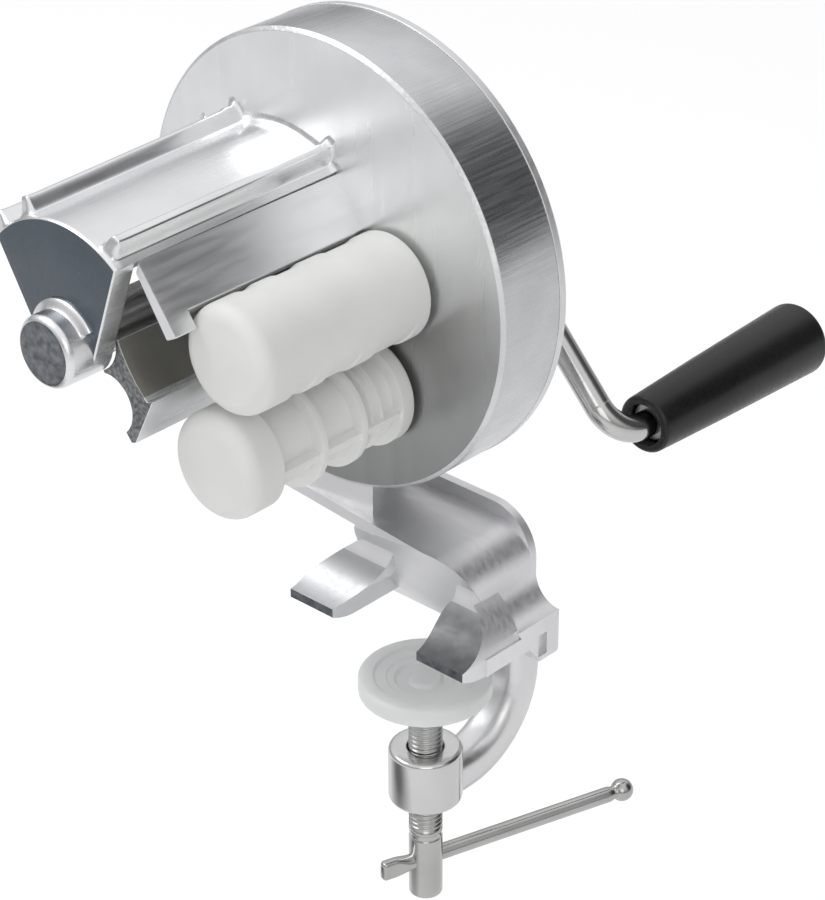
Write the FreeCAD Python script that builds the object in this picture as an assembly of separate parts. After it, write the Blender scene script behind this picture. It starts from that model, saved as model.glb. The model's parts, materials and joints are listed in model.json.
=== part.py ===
import FreeCAD, Part
import math
import os
from FreeCAD import Vector as Vec

os.makedirs("parts", exist_ok=True)

# Hand cranked cavatelli maker with a table clamp, in millimetres.
# Origin: where the clamp screw's axis meets the clamp's seat plane. +Z up, -Y towards the rollers' free
# ends and the table, +Y towards the crank, +X to the right as seen from the rollers.

# Clearances
running = 0.05          # radial play of a shaft or screw in its hole
seated = 0.02           # radial play of a piece that is pressed or glued
side_play = 0.3         # gap between faces that pass each other
through = 60.0          # how far cutting shapes reach past what they cut

# Gear housing, a shallow drum lying on its side
housing_x = -30.3
housing_z = 102.3
housing_front = -8.0
housing_depth = 22.0
housing_radius = 64.8
housing_wall = 3.5
front_wall = 4.0
rim_bevel = 1.2
cover_thickness = 3.0
cover_step = 0.2        # how far the cover's edge stands proud of the drum's
cover_bevel = 0.8

# Places of the shafts, measured from the middle of the drum
cutter_dx = -14.5
cutter_dz = 0.5
upper_dx = 26.5
upper_dz = 3.0
lower_tilt = 10.5       # degrees by which the lower roller stands to the left of straight below

# Gears
gear_module = 1.5
pressure_angle = 25.0
pinion_teeth = 12
idler_teeth = 29
roller_teeth = 36
timing_teeth = 22
gear_width = 6.0
tooth_play = 0.25
gear_hub_extra = 3.5

# Shafts and bushes
cutter_shaft_radius = 5.0
roller_shaft_radius = 4.0
idler_pin_radius = 4.0
bush_wall = 2.0
bush_flange = 1.2
bush_flange_extra = 1.6
inner_boss_height = 2.0
boss_wall = 2.6
cover_boss_height = 5.0
cover_boss_skin = 1.5
crank_boss_height = 14.0
clip_thickness = 0.8
clip_extra = 2.2

# Cover screws
screw_inset = 4.3       # from the drum's inner wall to a cover screw's axis
screw_angles = (60.0, 160.0, 250.0, 330.0)
screw_radius = 2.0
screw_head_radius = 3.7
screw_head_height = 2.4
screw_head_rim = 0.9
screw_slot_width = 1.0
screw_slot_depth = 1.1
screw_hole_play = 0.2
screw_length = 12.0
lug_radius = 4.5

# Cutter hood, its ribs, its end plate and the guard wall
hood_front = -85.0
hood_radius_front = 33.4
hood_radius_back = 35.0
hood_wall = 3.0
hood_left_angle = 138.0
rib_angles = (62.0, 115.0, 135.0)
rib_height = 4.3
rib_root_width = 5.4
rib_top_width = 3.2
rib_setback = 1.5
plate_thickness = 7.0
plate_boss_radius = 10.0
plate_boss_length = 8.0
plate_boss_skin = 2.5
plate_boss_bevel = 1.4
plate_foot_radius = 12.6
plate_foot_length = 3.5
guard_front_gap = 0.5
guard_top = (6.0, 27.3)
guard_bottom_outer = (18.5, 10.3)
guard_bottom_inner = (15.0, 8.4)
guard_full_length = 6.5
roller_side_gap = 1.0

# Cutter and the jaw that it works against
blade_radius = 9.4
blade_core_radius = 6.6
blade_thickness = 2.4
blade_count = 2
seat_gap = 0.7
jaw_gap = 0.5
jaw_cove_centre = (-8.0, -17.5)
jaw_cove_radius = 8.4
jaw_tip = (-0.4, -26.2)
jaw_tip_right = (1.2, -25.7)
jaw_ridge = (8.4, -11.2)
jaw_ridge_inner = (6.3, -12.0)
jaw_inner_sag = 1.0

# Rollers; discs and steps are (start, width) pairs measured from the roller's front end
roller_radius = 15.0
roller_front = -69.5
roller_edge_radius = 4.0
roller_cap_length = 12.0
roller_end_width = 5.0
roller_bore_depth = 50.0
upper_body_radius = 14.4
upper_discs = ((18.5, 5.6), (34.5, 7.2))
lower_core_radius = 8.0
lower_discs = ((24.9, 2.9), (39.7, 3.0))
lower_step_radius = 12.0
lower_steps = ((44.9, 1.0), (48.7, 1.0))
lower_ridge_radius = 13.6
web_thickness = 2.2
web_radius = 14.4
web_angle = -5.0

# Crank, a bent round rod in a hub on the cutter shaft
crank_rod_radius = 4.0
crank_plane = 62.5
crank_arm_length = 90.0
crank_arm_angle = -47.05
crank_bend_radius = 11.0
crank_hub_radius = 8.0
crank_hub_length = 17.0
crank_hub_grip = 9.5
grub_radius = 2.0
grub_length = 3.6
grub_gap = 0.1
grub_slot_width = 0.8
grub_slot_depth = 1.0

# Grip
grip_start = 74.0
grip_length = 74.0
grip_small_radius = 8.7
grip_large_radius = 11.4
grip_edge_radius = 2.0
grip_recess_radius = 6.2
grip_recess_depth = 5.0
grip_end_recess_radius = 7.4
grip_end_recess_depth = 9.0
grip_cap_thickness = 2.4
stop_ring_thickness = 1.4
stop_ring_extra = 1.6
push_nut_thickness = 1.0
push_nut_extra = 2.4

# Clamp bracket
bracket_back = 19.0
bracket_top = 30.4
strap_left = -58.0
strap_thickness = 3.4
strap_right = -10.0
strap_near_left = -5.5
strap_near_right = -13.4
leg_right = 24.0
shoulder_radius = 10.0
flare_radius = 8.5
base_right = 32.5
base_edge_height = 7.6
rim_height = 4.2
rim_width = 2.6
rim_end = 10.0
strap_rib_depth = 7.0
strap_rib_width = 6.0
cradle_half_width = 24.0
cradle_front = -7.0
cradle_right = -13.0
cradle_back_right = (-21.0, 7.0)
cradle_height = 30.0
leg_left = -16.0
web_crown_y = -12.0
web_foot_y = 6.5
web_top_z = 25.4
prong_tip_y = -20.3
prong_tip_low = 2.4
prong_tip_high = 5.1
prong_top_y = -7.0
prong_dish = (-11.0, 9.6)
prong_back = 3.0
prong_low = 5.2
right_inner = 15.3
right_inner_middle = (14.1, 10.6)
right_inner_high = (16.9, 16.5)
right_inner_top = 17.8
right_outer = 32.0
right_outer_middle = (29.2, 11.6)
right_outer_high = (23.8, 17.0)
right_outer_top = 22.4
left_inner = -16.2
left_inner_middle = (-10.8, 11.5)
left_inner_high = (-5.3, 24.0)
left_outer_middle = (-25.0, 15.2)
left_outer_top = -11.2
seat_front_y = -11.0
seat_back_y = 7.0
stop_y = 13.0
stop_z = -7.5
bracket_core_wall = 6.0
core_front = 4.0
base_corner = 3.0
core_floor = 6.0
side_pocket_depth = 1.6
side_pocket_y = (10.5, 14.0)
side_pocket_z = (-4.2, 2.8)

# Clamp arm with its threaded boss
arm_width = 13.0
arm_height = 12.6
arm_corner = 4.0
arm_back_y = 38.0
arm_low_z = -57.3
arm_top_z = 1.0
arm_top_bend = 14.0
arm_low_bend = 24.0
boss_radius = 10.75
boss_top_z = -43.2
boss_bottom_z = -60.8
boss_edge = 1.6

# Clamp screw, pad and tommy bar
thread_radius = 5.0
screw_end_z = -94.7
barrel_top_z = -70.8
barrel_edge = 0.8
tip_radius = 3.6
tip_height = 3.4
pad_top_z = -18.8
pad_thickness = 5.8
pad_radius = 19.1
pad_edge = 1.2
pad_step_radius = 14.6
pad_step_depth = 0.8
pad_well_radius = 8.6
pad_well_depth = 1.7
bar_radius = 2.4
bar_z = -82.9
bar_ball_at = 67.8
bar_ball_radius = 3.5
bar_paddle_gap = 0.6
bar_paddle_length = 9.2
bar_paddle_width = 6.2
bar_paddle_thickness = 3.6
bar_angle = 71.75


# Round bar, tube and ring helpers
def bar_y(x, z, y0, y1, radius):
    return Part.makeCylinder(radius, y1 - y0, Vec(x, y0, z), Vec(0, 1, 0))


def bar_z_axis(z0, z1, radius, x=0.0, y=0.0):
    return Part.makeCylinder(radius, z1 - z0, Vec(x, y, z0), Vec(0, 0, 1))


def tube_y(x, z, y0, y1, outer, inner):
    return bar_y(x, z, y0, y1, outer).cut(bar_y(x, z, y0 - 1, y1 + 1, inner))


def box(x0, x1, y0, y1, z0, z1):
    return Part.makeBox(x1 - x0, y1 - y0, z1 - z0, Vec(x0, y0, z0))


def join(shapes):
    result = shapes[0]
    for shape in shapes[1:]:
        result = result.fuse(shape)
    return result.removeSplitter()


def lathe_y(x, z, points):
    # points are (y, radius) pairs or ("arc", middle, end), turned about the line through x, z along Y
    edges = []
    last = Vec(points[0][1], points[0][0], 0)
    first = last
    for point in points[1:]:
        if point[0] == "arc":
            middle = Vec(point[1][1], point[1][0], 0)
            here = Vec(point[2][1], point[2][0], 0)
            edges.append(Part.Arc(last, middle, here).toShape())
        else:
            here = Vec(point[1], point[0], 0)
            edges.append(Part.makeLine(last, here))
        last = here
    edges.append(Part.makeLine(last, first))
    face = Part.Face(Part.Wire(edges))
    solid = face.revolve(Vec(0, 0, 0), Vec(0, 1, 0), 360)
    solid.translate(Vec(x, 0, z))
    return solid


def place(offset):
    return Vec(housing_x + offset[0], 0, housing_z + offset[1])


def outline_xz(points, y, origin=(0.0, 0.0)):
    # closed outline in an XZ plane: pairs are corners, ("arc", middle, end) is an arc through middle
    def at(pair):
        return Vec(origin[0] + pair[0], y, origin[1] + pair[1])

    edges = []
    first = at(points[0])
    last = first
    for point in points[1:]:
        if point[0] == "arc":
            here = at(point[2])
            edges.append(Part.Arc(last, at(point[1]), here).toShape())
        else:
            here = at(point)
            edges.append(Part.makeLine(last, here))
        last = here
    if last.distanceToPoint(first) > 1e-6:
        edges.append(Part.makeLine(last, first))
    return Part.Wire(edges)


def prism_xz(points, y0, y1, origin=(0.0, 0.0)):
    return Part.Face(outline_xz(points, y0, origin)).extrude(Vec(0, y1 - y0, 0))


def prism_yz(points, x0, x1):
    edges = []
    first = Vec(x0, points[0][0], points[0][1])
    last = first
    for point in points[1:]:
        if point[0] == "arc":
            middle = Vec(x0, point[1][0], point[1][1])
            here = Vec(x0, point[2][0], point[2][1])
            edges.append(Part.Arc(last, middle, here).toShape())
        else:
            here = Vec(x0, point[0], point[1])
            edges.append(Part.makeLine(last, here))
        last = here
    if last.distanceToPoint(first) > 1e-6:
        edges.append(Part.makeLine(last, first))
    return Part.Face(Part.Wire(edges)).extrude(Vec(x1 - x0, 0, 0))


def polar(centre, radius, degrees):
    angle = math.radians(degrees)
    return (centre[0] + radius * math.cos(angle), centre[1] + radius * math.sin(angle))


# Shaft places worked out from the gears
cutter_at = (cutter_dx, cutter_dz)
upper_at = (upper_dx, upper_dz)
timing_distance = gear_module * timing_teeth
lower_at = polar(upper_at, timing_distance, -90.0 - lower_tilt)
pinion_to_idler = gear_module * (pinion_teeth + idler_teeth) / 2
idler_to_roller = gear_module * (idler_teeth + roller_teeth) / 2


def third_corner(a, b, from_a, from_b):
    # the point above the line from a to b that lies from_a from a and from_b from b
    span = math.hypot(b[0] - a[0], b[1] - a[1])
    ux = (b[0] - a[0]) / span
    uz = (b[1] - a[1]) / span
    along = (from_a ** 2 - from_b ** 2 + span ** 2) / (2 * span)
    up = math.sqrt(from_a ** 2 - along ** 2)
    return (a[0] + along * ux - up * uz, a[1] + along * uz + up * ux)


idler_at = third_corner(cutter_at, upper_at, pinion_to_idler, idler_to_roller)

# Sizes that follow from the drum's
cover_radius = housing_radius + cover_step
screw_circle = housing_radius - housing_wall - screw_inset

# Planes along Y
housing_back = housing_front + housing_depth
cover_back = housing_back + cover_thickness
inside_front = housing_front + front_wall
bush_back = inside_front + inner_boss_height
reduction_start = bush_back + 0.5
reduction_end = reduction_start + gear_width
timing_start = reduction_end + 0.8
timing_end = timing_start + gear_width
shaft_end = cover_back + cover_boss_height - cover_boss_skin - side_play
crank_boss_end = cover_back + crank_boss_height
hub_start = crank_boss_end + bush_flange + side_play
hub_end = hub_start + crank_hub_length
cutter_shaft_end = hub_start + crank_hub_grip
plate_back = hood_front + plate_thickness
plate_boss_front = hood_front - plate_boss_length
cutter_shaft_front = plate_boss_front + plate_boss_skin + side_play
roller_back = housing_front - bush_flange - side_play
cutter_bush_radius = cutter_shaft_radius + bush_wall
roller_bush_radius = roller_shaft_radius + bush_wall
flange_radius = roller_bush_radius + bush_flange_extra


# Gears: involute flanks in two or three straight steps
def gear(teeth, at, phase, y0, y1, bore, hub_back=0.0):
    pitch = gear_module * teeth / 2
    base = pitch * math.cos(math.radians(pressure_angle))
    tip = pitch + gear_module
    root = pitch - 1.25 * gear_module
    pitch_half = math.pi / (2 * teeth) - tooth_play / (2 * pitch)

    def half_angle(radius):
        def spread(value):
            angle = math.acos(min(1.0, base / value))
            return math.tan(angle) - angle
        return pitch_half + spread(pitch) - spread(max(radius, base))

    levels = [root, max(base, root + 0.1), pitch, tip]
    points = []
    for tooth in range(teeth):
        middle = phase + 2 * math.pi * tooth / teeth
        for radius in levels:
            points.append((radius, middle - half_angle(radius)))
        for radius in reversed(levels):
            points.append((radius, middle + half_angle(radius)))
    centre = place(at)
    corners = []
    for radius, angle in points:
        corners.append(Vec(centre.x + radius * math.cos(angle), y0, centre.z + radius * math.sin(angle)))
    corners.append(corners[0])
    blank = Part.Face(Part.makePolygon(corners)).extrude(Vec(0, y1 - y0, 0))
    if hub_back > 0:
        blank = join([blank, bar_y(centre.x, centre.z, y1 - 1, y1 + hub_back, bore + gear_hub_extra)])
    return blank.cut(bar_y(centre.x, centre.z, y0 - 1, y1 + hub_back + 1, bore))


def meshed_phase(teeth_a, at_a, phase_a, teeth_b, at_b):
    # phase of gear b that puts one of its gaps on a tooth of gear a along their line of centres
    line = math.atan2(at_b[1] - at_a[1], at_b[0] - at_a[0])
    return line + math.pi - (math.pi - teeth_a * (line - phase_a)) / teeth_b


pinion_phase = 0.0
idler_phase = meshed_phase(pinion_teeth, cutter_at, pinion_phase, idler_teeth, idler_at)
roller_phase = meshed_phase(idler_teeth, idler_at, idler_phase, roller_teeth, upper_at)
upper_timing_phase = 0.0
lower_timing_phase = meshed_phase(timing_teeth, upper_at, upper_timing_phase, timing_teeth, lower_at)

nodes = {}


# Drum of the gear housing: front wall, side wall, inner bosses and lugs for the cover's screws
def gear_housing():
    x = housing_x
    z = housing_z
    drum = lathe_y(x, z, [
        (housing_front, 0.0),
        (housing_front, housing_radius - rim_bevel),
        (housing_front + rim_bevel, housing_radius),
        (housing_back, housing_radius),
        (housing_back, housing_radius - housing_wall),
        (inside_front, housing_radius - housing_wall),
        (inside_front, 0.0)])
    pieces = [drum]
    for at, radius in ((cutter_at, cutter_bush_radius), (upper_at, roller_bush_radius),
                       (lower_at, roller_bush_radius), (idler_at, idler_pin_radius)):
        centre = place(at)
        pieces.append(bar_y(centre.x, centre.z, inside_front - 1, bush_back, radius + boss_wall))
    for angle in screw_angles:
        lug = place(polar((0, 0), screw_circle, angle))
        pieces.append(bar_y(lug.x, lug.z, inside_front - 1, housing_back, lug_radius))
    body = join(pieces)
    for at, radius in ((cutter_at, cutter_bush_radius), (upper_at, roller_bush_radius),
                       (lower_at, roller_bush_radius), (idler_at, idler_pin_radius)):
        centre = place(at)
        body = body.cut(bar_y(centre.x, centre.z, inside_front - 2, bush_back + 1, radius + seated))
        if at != idler_at:
            body = body.cut(bar_y(centre.x, centre.z, housing_front - 1, inside_front, radius + seated))
    for angle in screw_angles:
        lug = place(polar((0, 0), screw_circle, angle))
        low = cover_back - screw_length - 0.5
        body = body.cut(bar_y(lug.x, lug.z, low, housing_back + 1, screw_radius + seated))
    return body


# Back cover: a disc with a long boss for the crank end of the cutter shaft and three blind bosses
def back_cover():
    x = housing_x
    z = housing_z
    disc = lathe_y(x, z, [
        (housing_back, 0.0),
        (housing_back, cover_radius),
        (cover_back - cover_bevel, cover_radius),
        (cover_back, cover_radius - cover_bevel),
        (cover_back, 0.0)])
    cutter = place(cutter_at)
    pieces = [disc, lathe_y(cutter.x, cutter.z, [
        (housing_back, 0.0),
        (housing_back, cutter_bush_radius + boss_wall + 2.0),
        (cover_back, cutter_bush_radius + boss_wall + 2.0),
        (cover_back + 2.0, cutter_bush_radius + boss_wall + 0.4),
        (crank_boss_end, cutter_bush_radius + boss_wall),
        (crank_boss_end, 0.0)])]
    for at in (upper_at, lower_at, idler_at):
        centre = place(at)
        outer = roller_shaft_radius + boss_wall
        pieces.append(lathe_y(centre.x, centre.z, [
            (housing_back, 0.0),
            (housing_back, outer + 1.0),
            (cover_back, outer + 1.0),
            (cover_back + cover_boss_height - 0.8, outer),
            (cover_back + cover_boss_height, outer - 0.8),
            (cover_back + cover_boss_height, 0.0)]))
    body = join(pieces)
    body = body.cut(bar_y(cutter.x, cutter.z, housing_back - 1, crank_boss_end + 1, cutter_bush_radius + seated))
    blind_end = cover_back + cover_boss_height - cover_boss_skin
    for at in (upper_at, lower_at):
        centre = place(at)
        body = body.cut(bar_y(centre.x, centre.z, housing_back - 1, blind_end, roller_shaft_radius + running))
    idler = place(idler_at)
    body = body.cut(bar_y(idler.x, idler.z, housing_back - 1, blind_end, idler_pin_radius + seated))
    for angle in screw_angles:
        hole = place(polar((0, 0), screw_circle, angle))
        body = body.cut(bar_y(hole.x, hole.z, housing_back - 1, cover_back + 1, screw_radius + screw_hole_play))
    return body


def cover_screws():
    screws = []
    for angle in screw_angles:
        at = place(polar((0, 0), screw_circle, angle))
        top = cover_back + screw_head_height
        screw = lathe_y(at.x, at.z, [
            (cover_back - screw_length, 0.0),
            (cover_back - screw_length, screw_radius),
            (cover_back, screw_radius),
            (cover_back, screw_head_radius),
            (cover_back + screw_head_rim, screw_head_radius),
            ("arc", (top - screw_head_rim / 2, screw_head_radius * 0.72), (top, screw_head_radius * 0.28)),
            (top, 0.0)])
        half = screw_slot_width / 2
        slot = box(at.x - screw_head_radius, at.x + screw_head_radius, top - screw_slot_depth, top + 1,
                   at.z - half, at.z + half)
        screws.append(screw.cut(slot))
    return Part.makeCompound(screws)


# Bushes: sleeves with a flange at their outer end
def flanged_bush(at, radius, y_flange, y_end):
    # the flange stands outside y_flange, the sleeve runs from there to y_end
    centre = place(at)
    outer = radius + bush_wall
    step = bush_flange if y_end < y_flange else -bush_flange
    low = min(y_flange, y_flange + step)
    high = max(y_flange, y_flange + step)
    flange = bar_y(centre.x, centre.z, low, high, outer + bush_flange_extra)
    sleeve = bar_y(centre.x, centre.z, min(y_flange, y_end), max(y_flange, y_end), outer)
    bore = bar_y(centre.x, centre.z, min(low, y_end) - 1, max(high, y_end) + 1, radius + running)
    return join([flange, sleeve]).cut(bore)


# End plate with the blind bearing boss, hood, ribs and guard wall: the cutter's cast cover
def hood_outline(radius):
    inner = radius - hood_wall
    right_outer = polar(cutter_at, radius, rib_angles[0] - 9.0)
    right_inner = polar(cutter_at, inner, rib_angles[0] - 12.0)
    middle = (hood_left_angle + rib_angles[0]) / 2
    return [
        polar(cutter_at, radius, hood_left_angle),
        ("arc", polar(cutter_at, radius, middle), right_outer),
        guard_bottom_outer,
        guard_bottom_inner,
        right_inner,
        ("arc", polar(cutter_at, inner, middle), polar(cutter_at, inner, hood_left_angle))]


def cutter_hood():
    origin = (housing_x, housing_z)
    front = outline_xz(hood_outline(hood_radius_front), plate_back, origin)
    back = outline_xz(hood_outline(hood_radius_back), housing_front, origin)
    hood = Part.makeLoft([front, back], True, True)

    left = polar(cutter_at, hood_radius_front, hood_left_angle)
    right = polar(cutter_at, hood_radius_front, rib_angles[0] - 9.0)

    def tangent(corner, side):
        # where a line from the corner touches the boss circle on the given side
        dx = corner[0] - cutter_at[0]
        dz = corner[1] - cutter_at[1]
        base = math.degrees(math.atan2(dz, dx))
        reach = math.degrees(math.acos(plate_boss_radius / math.hypot(dx, dz)))
        return polar(cutter_at, plate_boss_radius, base + side * reach)

    top = (hood_left_angle + rib_angles[0]) / 2
    plate_points = [
        left,
        ("arc", polar(cutter_at, hood_radius_front, top), right),
        tangent(right, -1),
        ("arc", polar(cutter_at, plate_boss_radius, -90.0), tangent(left, 1))]
    plate = prism_xz(plate_points, hood_front, plate_back, origin)

    centre = place(cutter_at)
    boss = lathe_y(centre.x, centre.z, [
        (plate_boss_front, 0.0),
        (plate_boss_front, plate_boss_radius - plate_boss_bevel),
        ("arc", (plate_boss_front + 0.3 * plate_boss_bevel, plate_boss_radius - 0.3 * plate_boss_bevel),
         (plate_boss_front + plate_boss_bevel, plate_boss_radius)),
        (hood_front - plate_foot_length, plate_boss_radius),
        (hood_front, plate_foot_radius),
        (plate_back, plate_foot_radius),
        (plate_back, 0.0)])
    boss = boss.common(prism_xz(plate_points, plate_boss_front - 1, plate_back, origin).fuse(
        bar_y(centre.x, centre.z, plate_boss_front - 1, plate_back, plate_boss_radius)))

    ribs = []
    for angle in rib_angles:
        def across(radius, half):
            foot = polar(cutter_at, radius, angle)
            side = polar((0, 0), half, angle + 90.0)
            return (foot[0] + side[0], foot[1] + side[1])

        def rib_wire(radius, y):
            return outline_xz([
                across(radius - 1.5, rib_root_width / 2),
                across(radius - 1.5, -rib_root_width / 2),
                across(radius + rib_height * 0.7, -rib_top_width / 2),
                ("arc", across(radius + rib_height, 0.0), across(radius + rib_height * 0.7, rib_top_width / 2))],
                y, origin)
        start = hood_front + rib_setback
        ribs.append(Part.makeLoft([rib_wire(hood_radius_front, start), rib_wire(hood_radius_back, housing_front)],
                                  True, True))

    body = join([hood, plate, boss] + ribs)
    # room for the upper roller beside the guard wall
    roller = place(upper_at)
    scallop = bar_y(roller.x, roller.z, roller_front - roller_side_gap, housing_front + 1,
                    roller_radius + roller_side_gap)
    body = body.cut(scallop)
    bore_front = plate_boss_front + plate_boss_skin
    return body.cut(bar_y(centre.x, centre.z, bore_front, plate_back + 1, cutter_bush_radius + seated))


# Jaw under the cutter: a concave seat for the blades, a lip, a ramp for the dough and a cove below
def forming_jaw():
    seat_radius = blade_radius + seat_gap
    lip = polar(cutter_at, seat_radius, 9.0)
    seat_low = polar(cutter_at, seat_radius, -62.0)
    cove_start = polar(jaw_cove_centre, jaw_cove_radius, 100.0)
    cove_end = polar(jaw_cove_centre, jaw_cove_radius, -48.0)
    ramp_top = (lip[0] + 1.0, lip[1])
    run_x = ramp_top[0] - jaw_ridge_inner[0]
    run_z = ramp_top[1] - jaw_ridge_inner[1]
    length = math.hypot(run_x, run_z)
    ramp_middle = ((ramp_top[0] + jaw_ridge_inner[0]) / 2 - jaw_inner_sag * run_z / length,
                   (ramp_top[1] + jaw_ridge_inner[1]) / 2 + jaw_inner_sag * run_x / length)
    points = [
        lip,
        ("arc", polar(cutter_at, seat_radius, -28.0), seat_low),
        cove_start,
        ("arc", polar(jaw_cove_centre, jaw_cove_radius, 20.0), cove_end),
        jaw_tip,
        jaw_tip_right,
        jaw_ridge,
        jaw_ridge_inner,
        ("arc", ramp_middle, ramp_top)]
    return prism_xz(points, plate_back + jaw_gap, housing_front, (housing_x, housing_z))


def cutter_blades():
    centre = place(cutter_at)
    y0 = plate_back + bush_flange + side_play
    y1 = housing_front - bush_flange - side_play
    pieces = [bar_y(centre.x, centre.z, y0, y1, blade_core_radius)]
    for number in range(blade_count):
        angle = 180.0 * number / (blade_count / 2) + 75.0
        blade = box(0, blade_radius, y0, y1, -blade_thickness / 2, blade_thickness / 2)
        blade.rotate(Vec(0, 0, 0), Vec(0, 1, 0), -angle)
        blade.translate(Vec(centre.x, 0, centre.z))
        pieces.append(blade)
    body = join(pieces).common(bar_y(centre.x, centre.z, y0, y1, blade_radius))
    return body.cut(bar_y(centre.x, centre.z, y0 - 1, y1 + 1, cutter_shaft_radius + seated))


# Rollers: a domed cap and full discs on a thick body, or on a core with one flat web and open pockets
def roller_cap(centre):
    edge = roller_edge_radius
    quarter = edge * (1 - math.sqrt(0.5))
    cap_end = roller_front + roller_cap_length
    return lathe_y(centre.x, centre.z, [
        (roller_front, 0.0),
        (roller_front, roller_radius - edge),
        ("arc", (roller_front + quarter, roller_radius - quarter), (roller_front + edge, roller_radius)),
        (cap_end, roller_radius),
        (cap_end, 0.0)])


def roller_rings(centre, places, radius):
    return [bar_y(centre.x, centre.z, roller_front + start, roller_front + start + width, radius)
            for start, width in places]


def finished_roller(centre, pieces):
    end_disc = bar_y(centre.x, centre.z, roller_back - roller_end_width, roller_back, roller_radius)
    bore = bar_y(centre.x, centre.z, roller_back - roller_bore_depth, roller_back + 1, roller_shaft_radius + seated)
    return join([roller_cap(centre), end_disc] + pieces).cut(bore)


def upper_roller():
    centre = place(upper_at)
    body = bar_y(centre.x, centre.z, roller_front + roller_cap_length - 1, roller_back - 1, upper_body_radius)
    return finished_roller(centre, [body] + roller_rings(centre, upper_discs, roller_radius))


def lower_roller():
    centre = place(lower_at)
    start = roller_front + roller_cap_length - 1
    core = bar_y(centre.x, centre.z, start, roller_back - 1, lower_core_radius)
    last_start, last_width = lower_discs[-1]
    stepped = bar_y(centre.x, centre.z, roller_front + last_start + last_width - 1, roller_back - 1,
                    lower_step_radius)
    half = web_thickness / 2
    web = box(-web_radius, web_radius, start, roller_back - 1, -half, half)
    web.rotate(Vec(0, 0, 0), Vec(0, 1, 0), -web_angle)
    web.translate(Vec(centre.x, 0, centre.z))
    rings = roller_rings(centre, lower_discs, roller_radius)
    ridges = roller_rings(centre, lower_steps, lower_ridge_radius)
    return finished_roller(centre, [core, stepped, web] + rings + ridges)


def roller_shaft(at):
    centre = place(at)
    start = roller_back - roller_bore_depth + side_play
    return bar_y(centre.x, centre.z, start, shaft_end, roller_shaft_radius)


def shaft_clip(at, y0, radius, inner):
    centre = place(at)
    return tube_y(centre.x, centre.z, y0, y0 + clip_thickness, radius + clip_extra, inner)


# Crank: hub with grub screws, and the bent rod
def rod_path():
    cutter = place(cutter_at)
    arm = Vec(math.cos(math.radians(crank_arm_angle)), 0, math.sin(math.radians(crank_arm_angle)))
    start = Vec(cutter.x, cutter_shaft_end + side_play, cutter.z)
    corner_a = Vec(cutter.x, crank_plane, cutter.z)
    corner_b = corner_a + arm * crank_arm_length
    end_y = grip_start + grip_length - grip_cap_thickness - 1.2
    end = Vec(corner_b.x, end_y, corner_b.z)
    bend = crank_bend_radius
    along = Vec(0, 1, 0)
    diagonal = bend * (1 - math.sqrt(0.5))
    a0 = corner_a - along * bend
    a1 = corner_a + arm * bend
    a_middle = corner_a + (arm - along) * diagonal
    b0 = corner_b - arm * bend
    b1 = corner_b + along * bend
    b_middle = corner_b + (along - arm) * diagonal
    edges = [
        Part.makeLine(start, a0),
        Part.Arc(a0, a_middle, a1).toShape(),
        Part.makeLine(a1, b0),
        Part.Arc(b0, b_middle, b1).toShape(),
        Part.makeLine(b1, end)]
    return Part.Wire(edges), start, corner_b


def crank_rod():
    path, start, corner = rod_path()
    section = Part.Wire([Part.makeCircle(crank_rod_radius, start, Vec(0, 1, 0))])
    return path.makePipeShell([section], True, False)


def crank_hub():
    cutter = place(cutter_at)
    body = lathe_y(cutter.x, cutter.z, [
        (hub_start, 0.0),
        (hub_start, crank_hub_radius - 0.8),
        (hub_start + 0.8, crank_hub_radius),
        (hub_end - 0.8, crank_hub_radius),
        (hub_end, crank_hub_radius - 0.8),
        (hub_end, 0.0)])
    body = body.cut(bar_y(cutter.x, cutter.z, hub_start - 1, cutter_shaft_end + side_play,
                          cutter_shaft_radius + seated))
    body = body.cut(bar_y(cutter.x, cutter.z, hub_start, hub_end + 1, crank_rod_radius + seated))
    for y in grub_places():
        body = body.cut(bar_z_axis(cutter.z, cutter.z + 20, grub_radius + seated, cutter.x, y))
    return body


def grub_places():
    return ((hub_start + cutter_shaft_end) / 2, (cutter_shaft_end + hub_end) / 2)


def hub_grub_screws():
    cutter = place(cutter_at)
    screws = []
    for y, radius in zip(grub_places(), (cutter_shaft_radius, crank_rod_radius)):
        low = cutter.z + radius + grub_gap
        half = grub_slot_width / 2
        screw = bar_z_axis(low, low + grub_length, grub_radius, cutter.x, y)
        slot = box(cutter.x - 2 * grub_radius, cutter.x + 2 * grub_radius, y - half, y + half,
                   low + grub_length - grub_slot_depth, low + grub_length + 1)
        screws.append(screw.cut(slot))
    return Part.makeCompound(screws)


def grip_centre():
    return rod_path()[2]


def grip_end():
    return grip_start + grip_length


def grip():
    centre = grip_centre()
    small = grip_small_radius
    large = grip_large_radius
    edge = grip_edge_radius
    quarter = edge * (1 - math.sqrt(0.5))
    body = lathe_y(centre.x, centre.z, [
        (grip_start, 0.0),
        (grip_start, small - edge),
        ("arc", (grip_start + quarter, small - quarter), (grip_start + edge, small)),
        (grip_end() - edge, large),
        ("arc", (grip_end() - quarter, large - quarter), (grip_end(), large - edge)),
        (grip_end(), 0.0)])
    body = body.cut(bar_y(centre.x, centre.z, grip_start - 1, grip_end() + 1, crank_rod_radius + running))
    body = body.cut(bar_y(centre.x, centre.z, grip_start - 1, grip_start + grip_recess_depth, grip_recess_radius))
    return body.cut(bar_y(centre.x, centre.z, grip_end() - grip_end_recess_depth, grip_end() + 1,
                          grip_end_recess_radius))


def grip_end_cap():
    centre = grip_centre()
    return bar_y(centre.x, centre.z, grip_end() - grip_cap_thickness, grip_end(), grip_end_recess_radius - seated)


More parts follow.
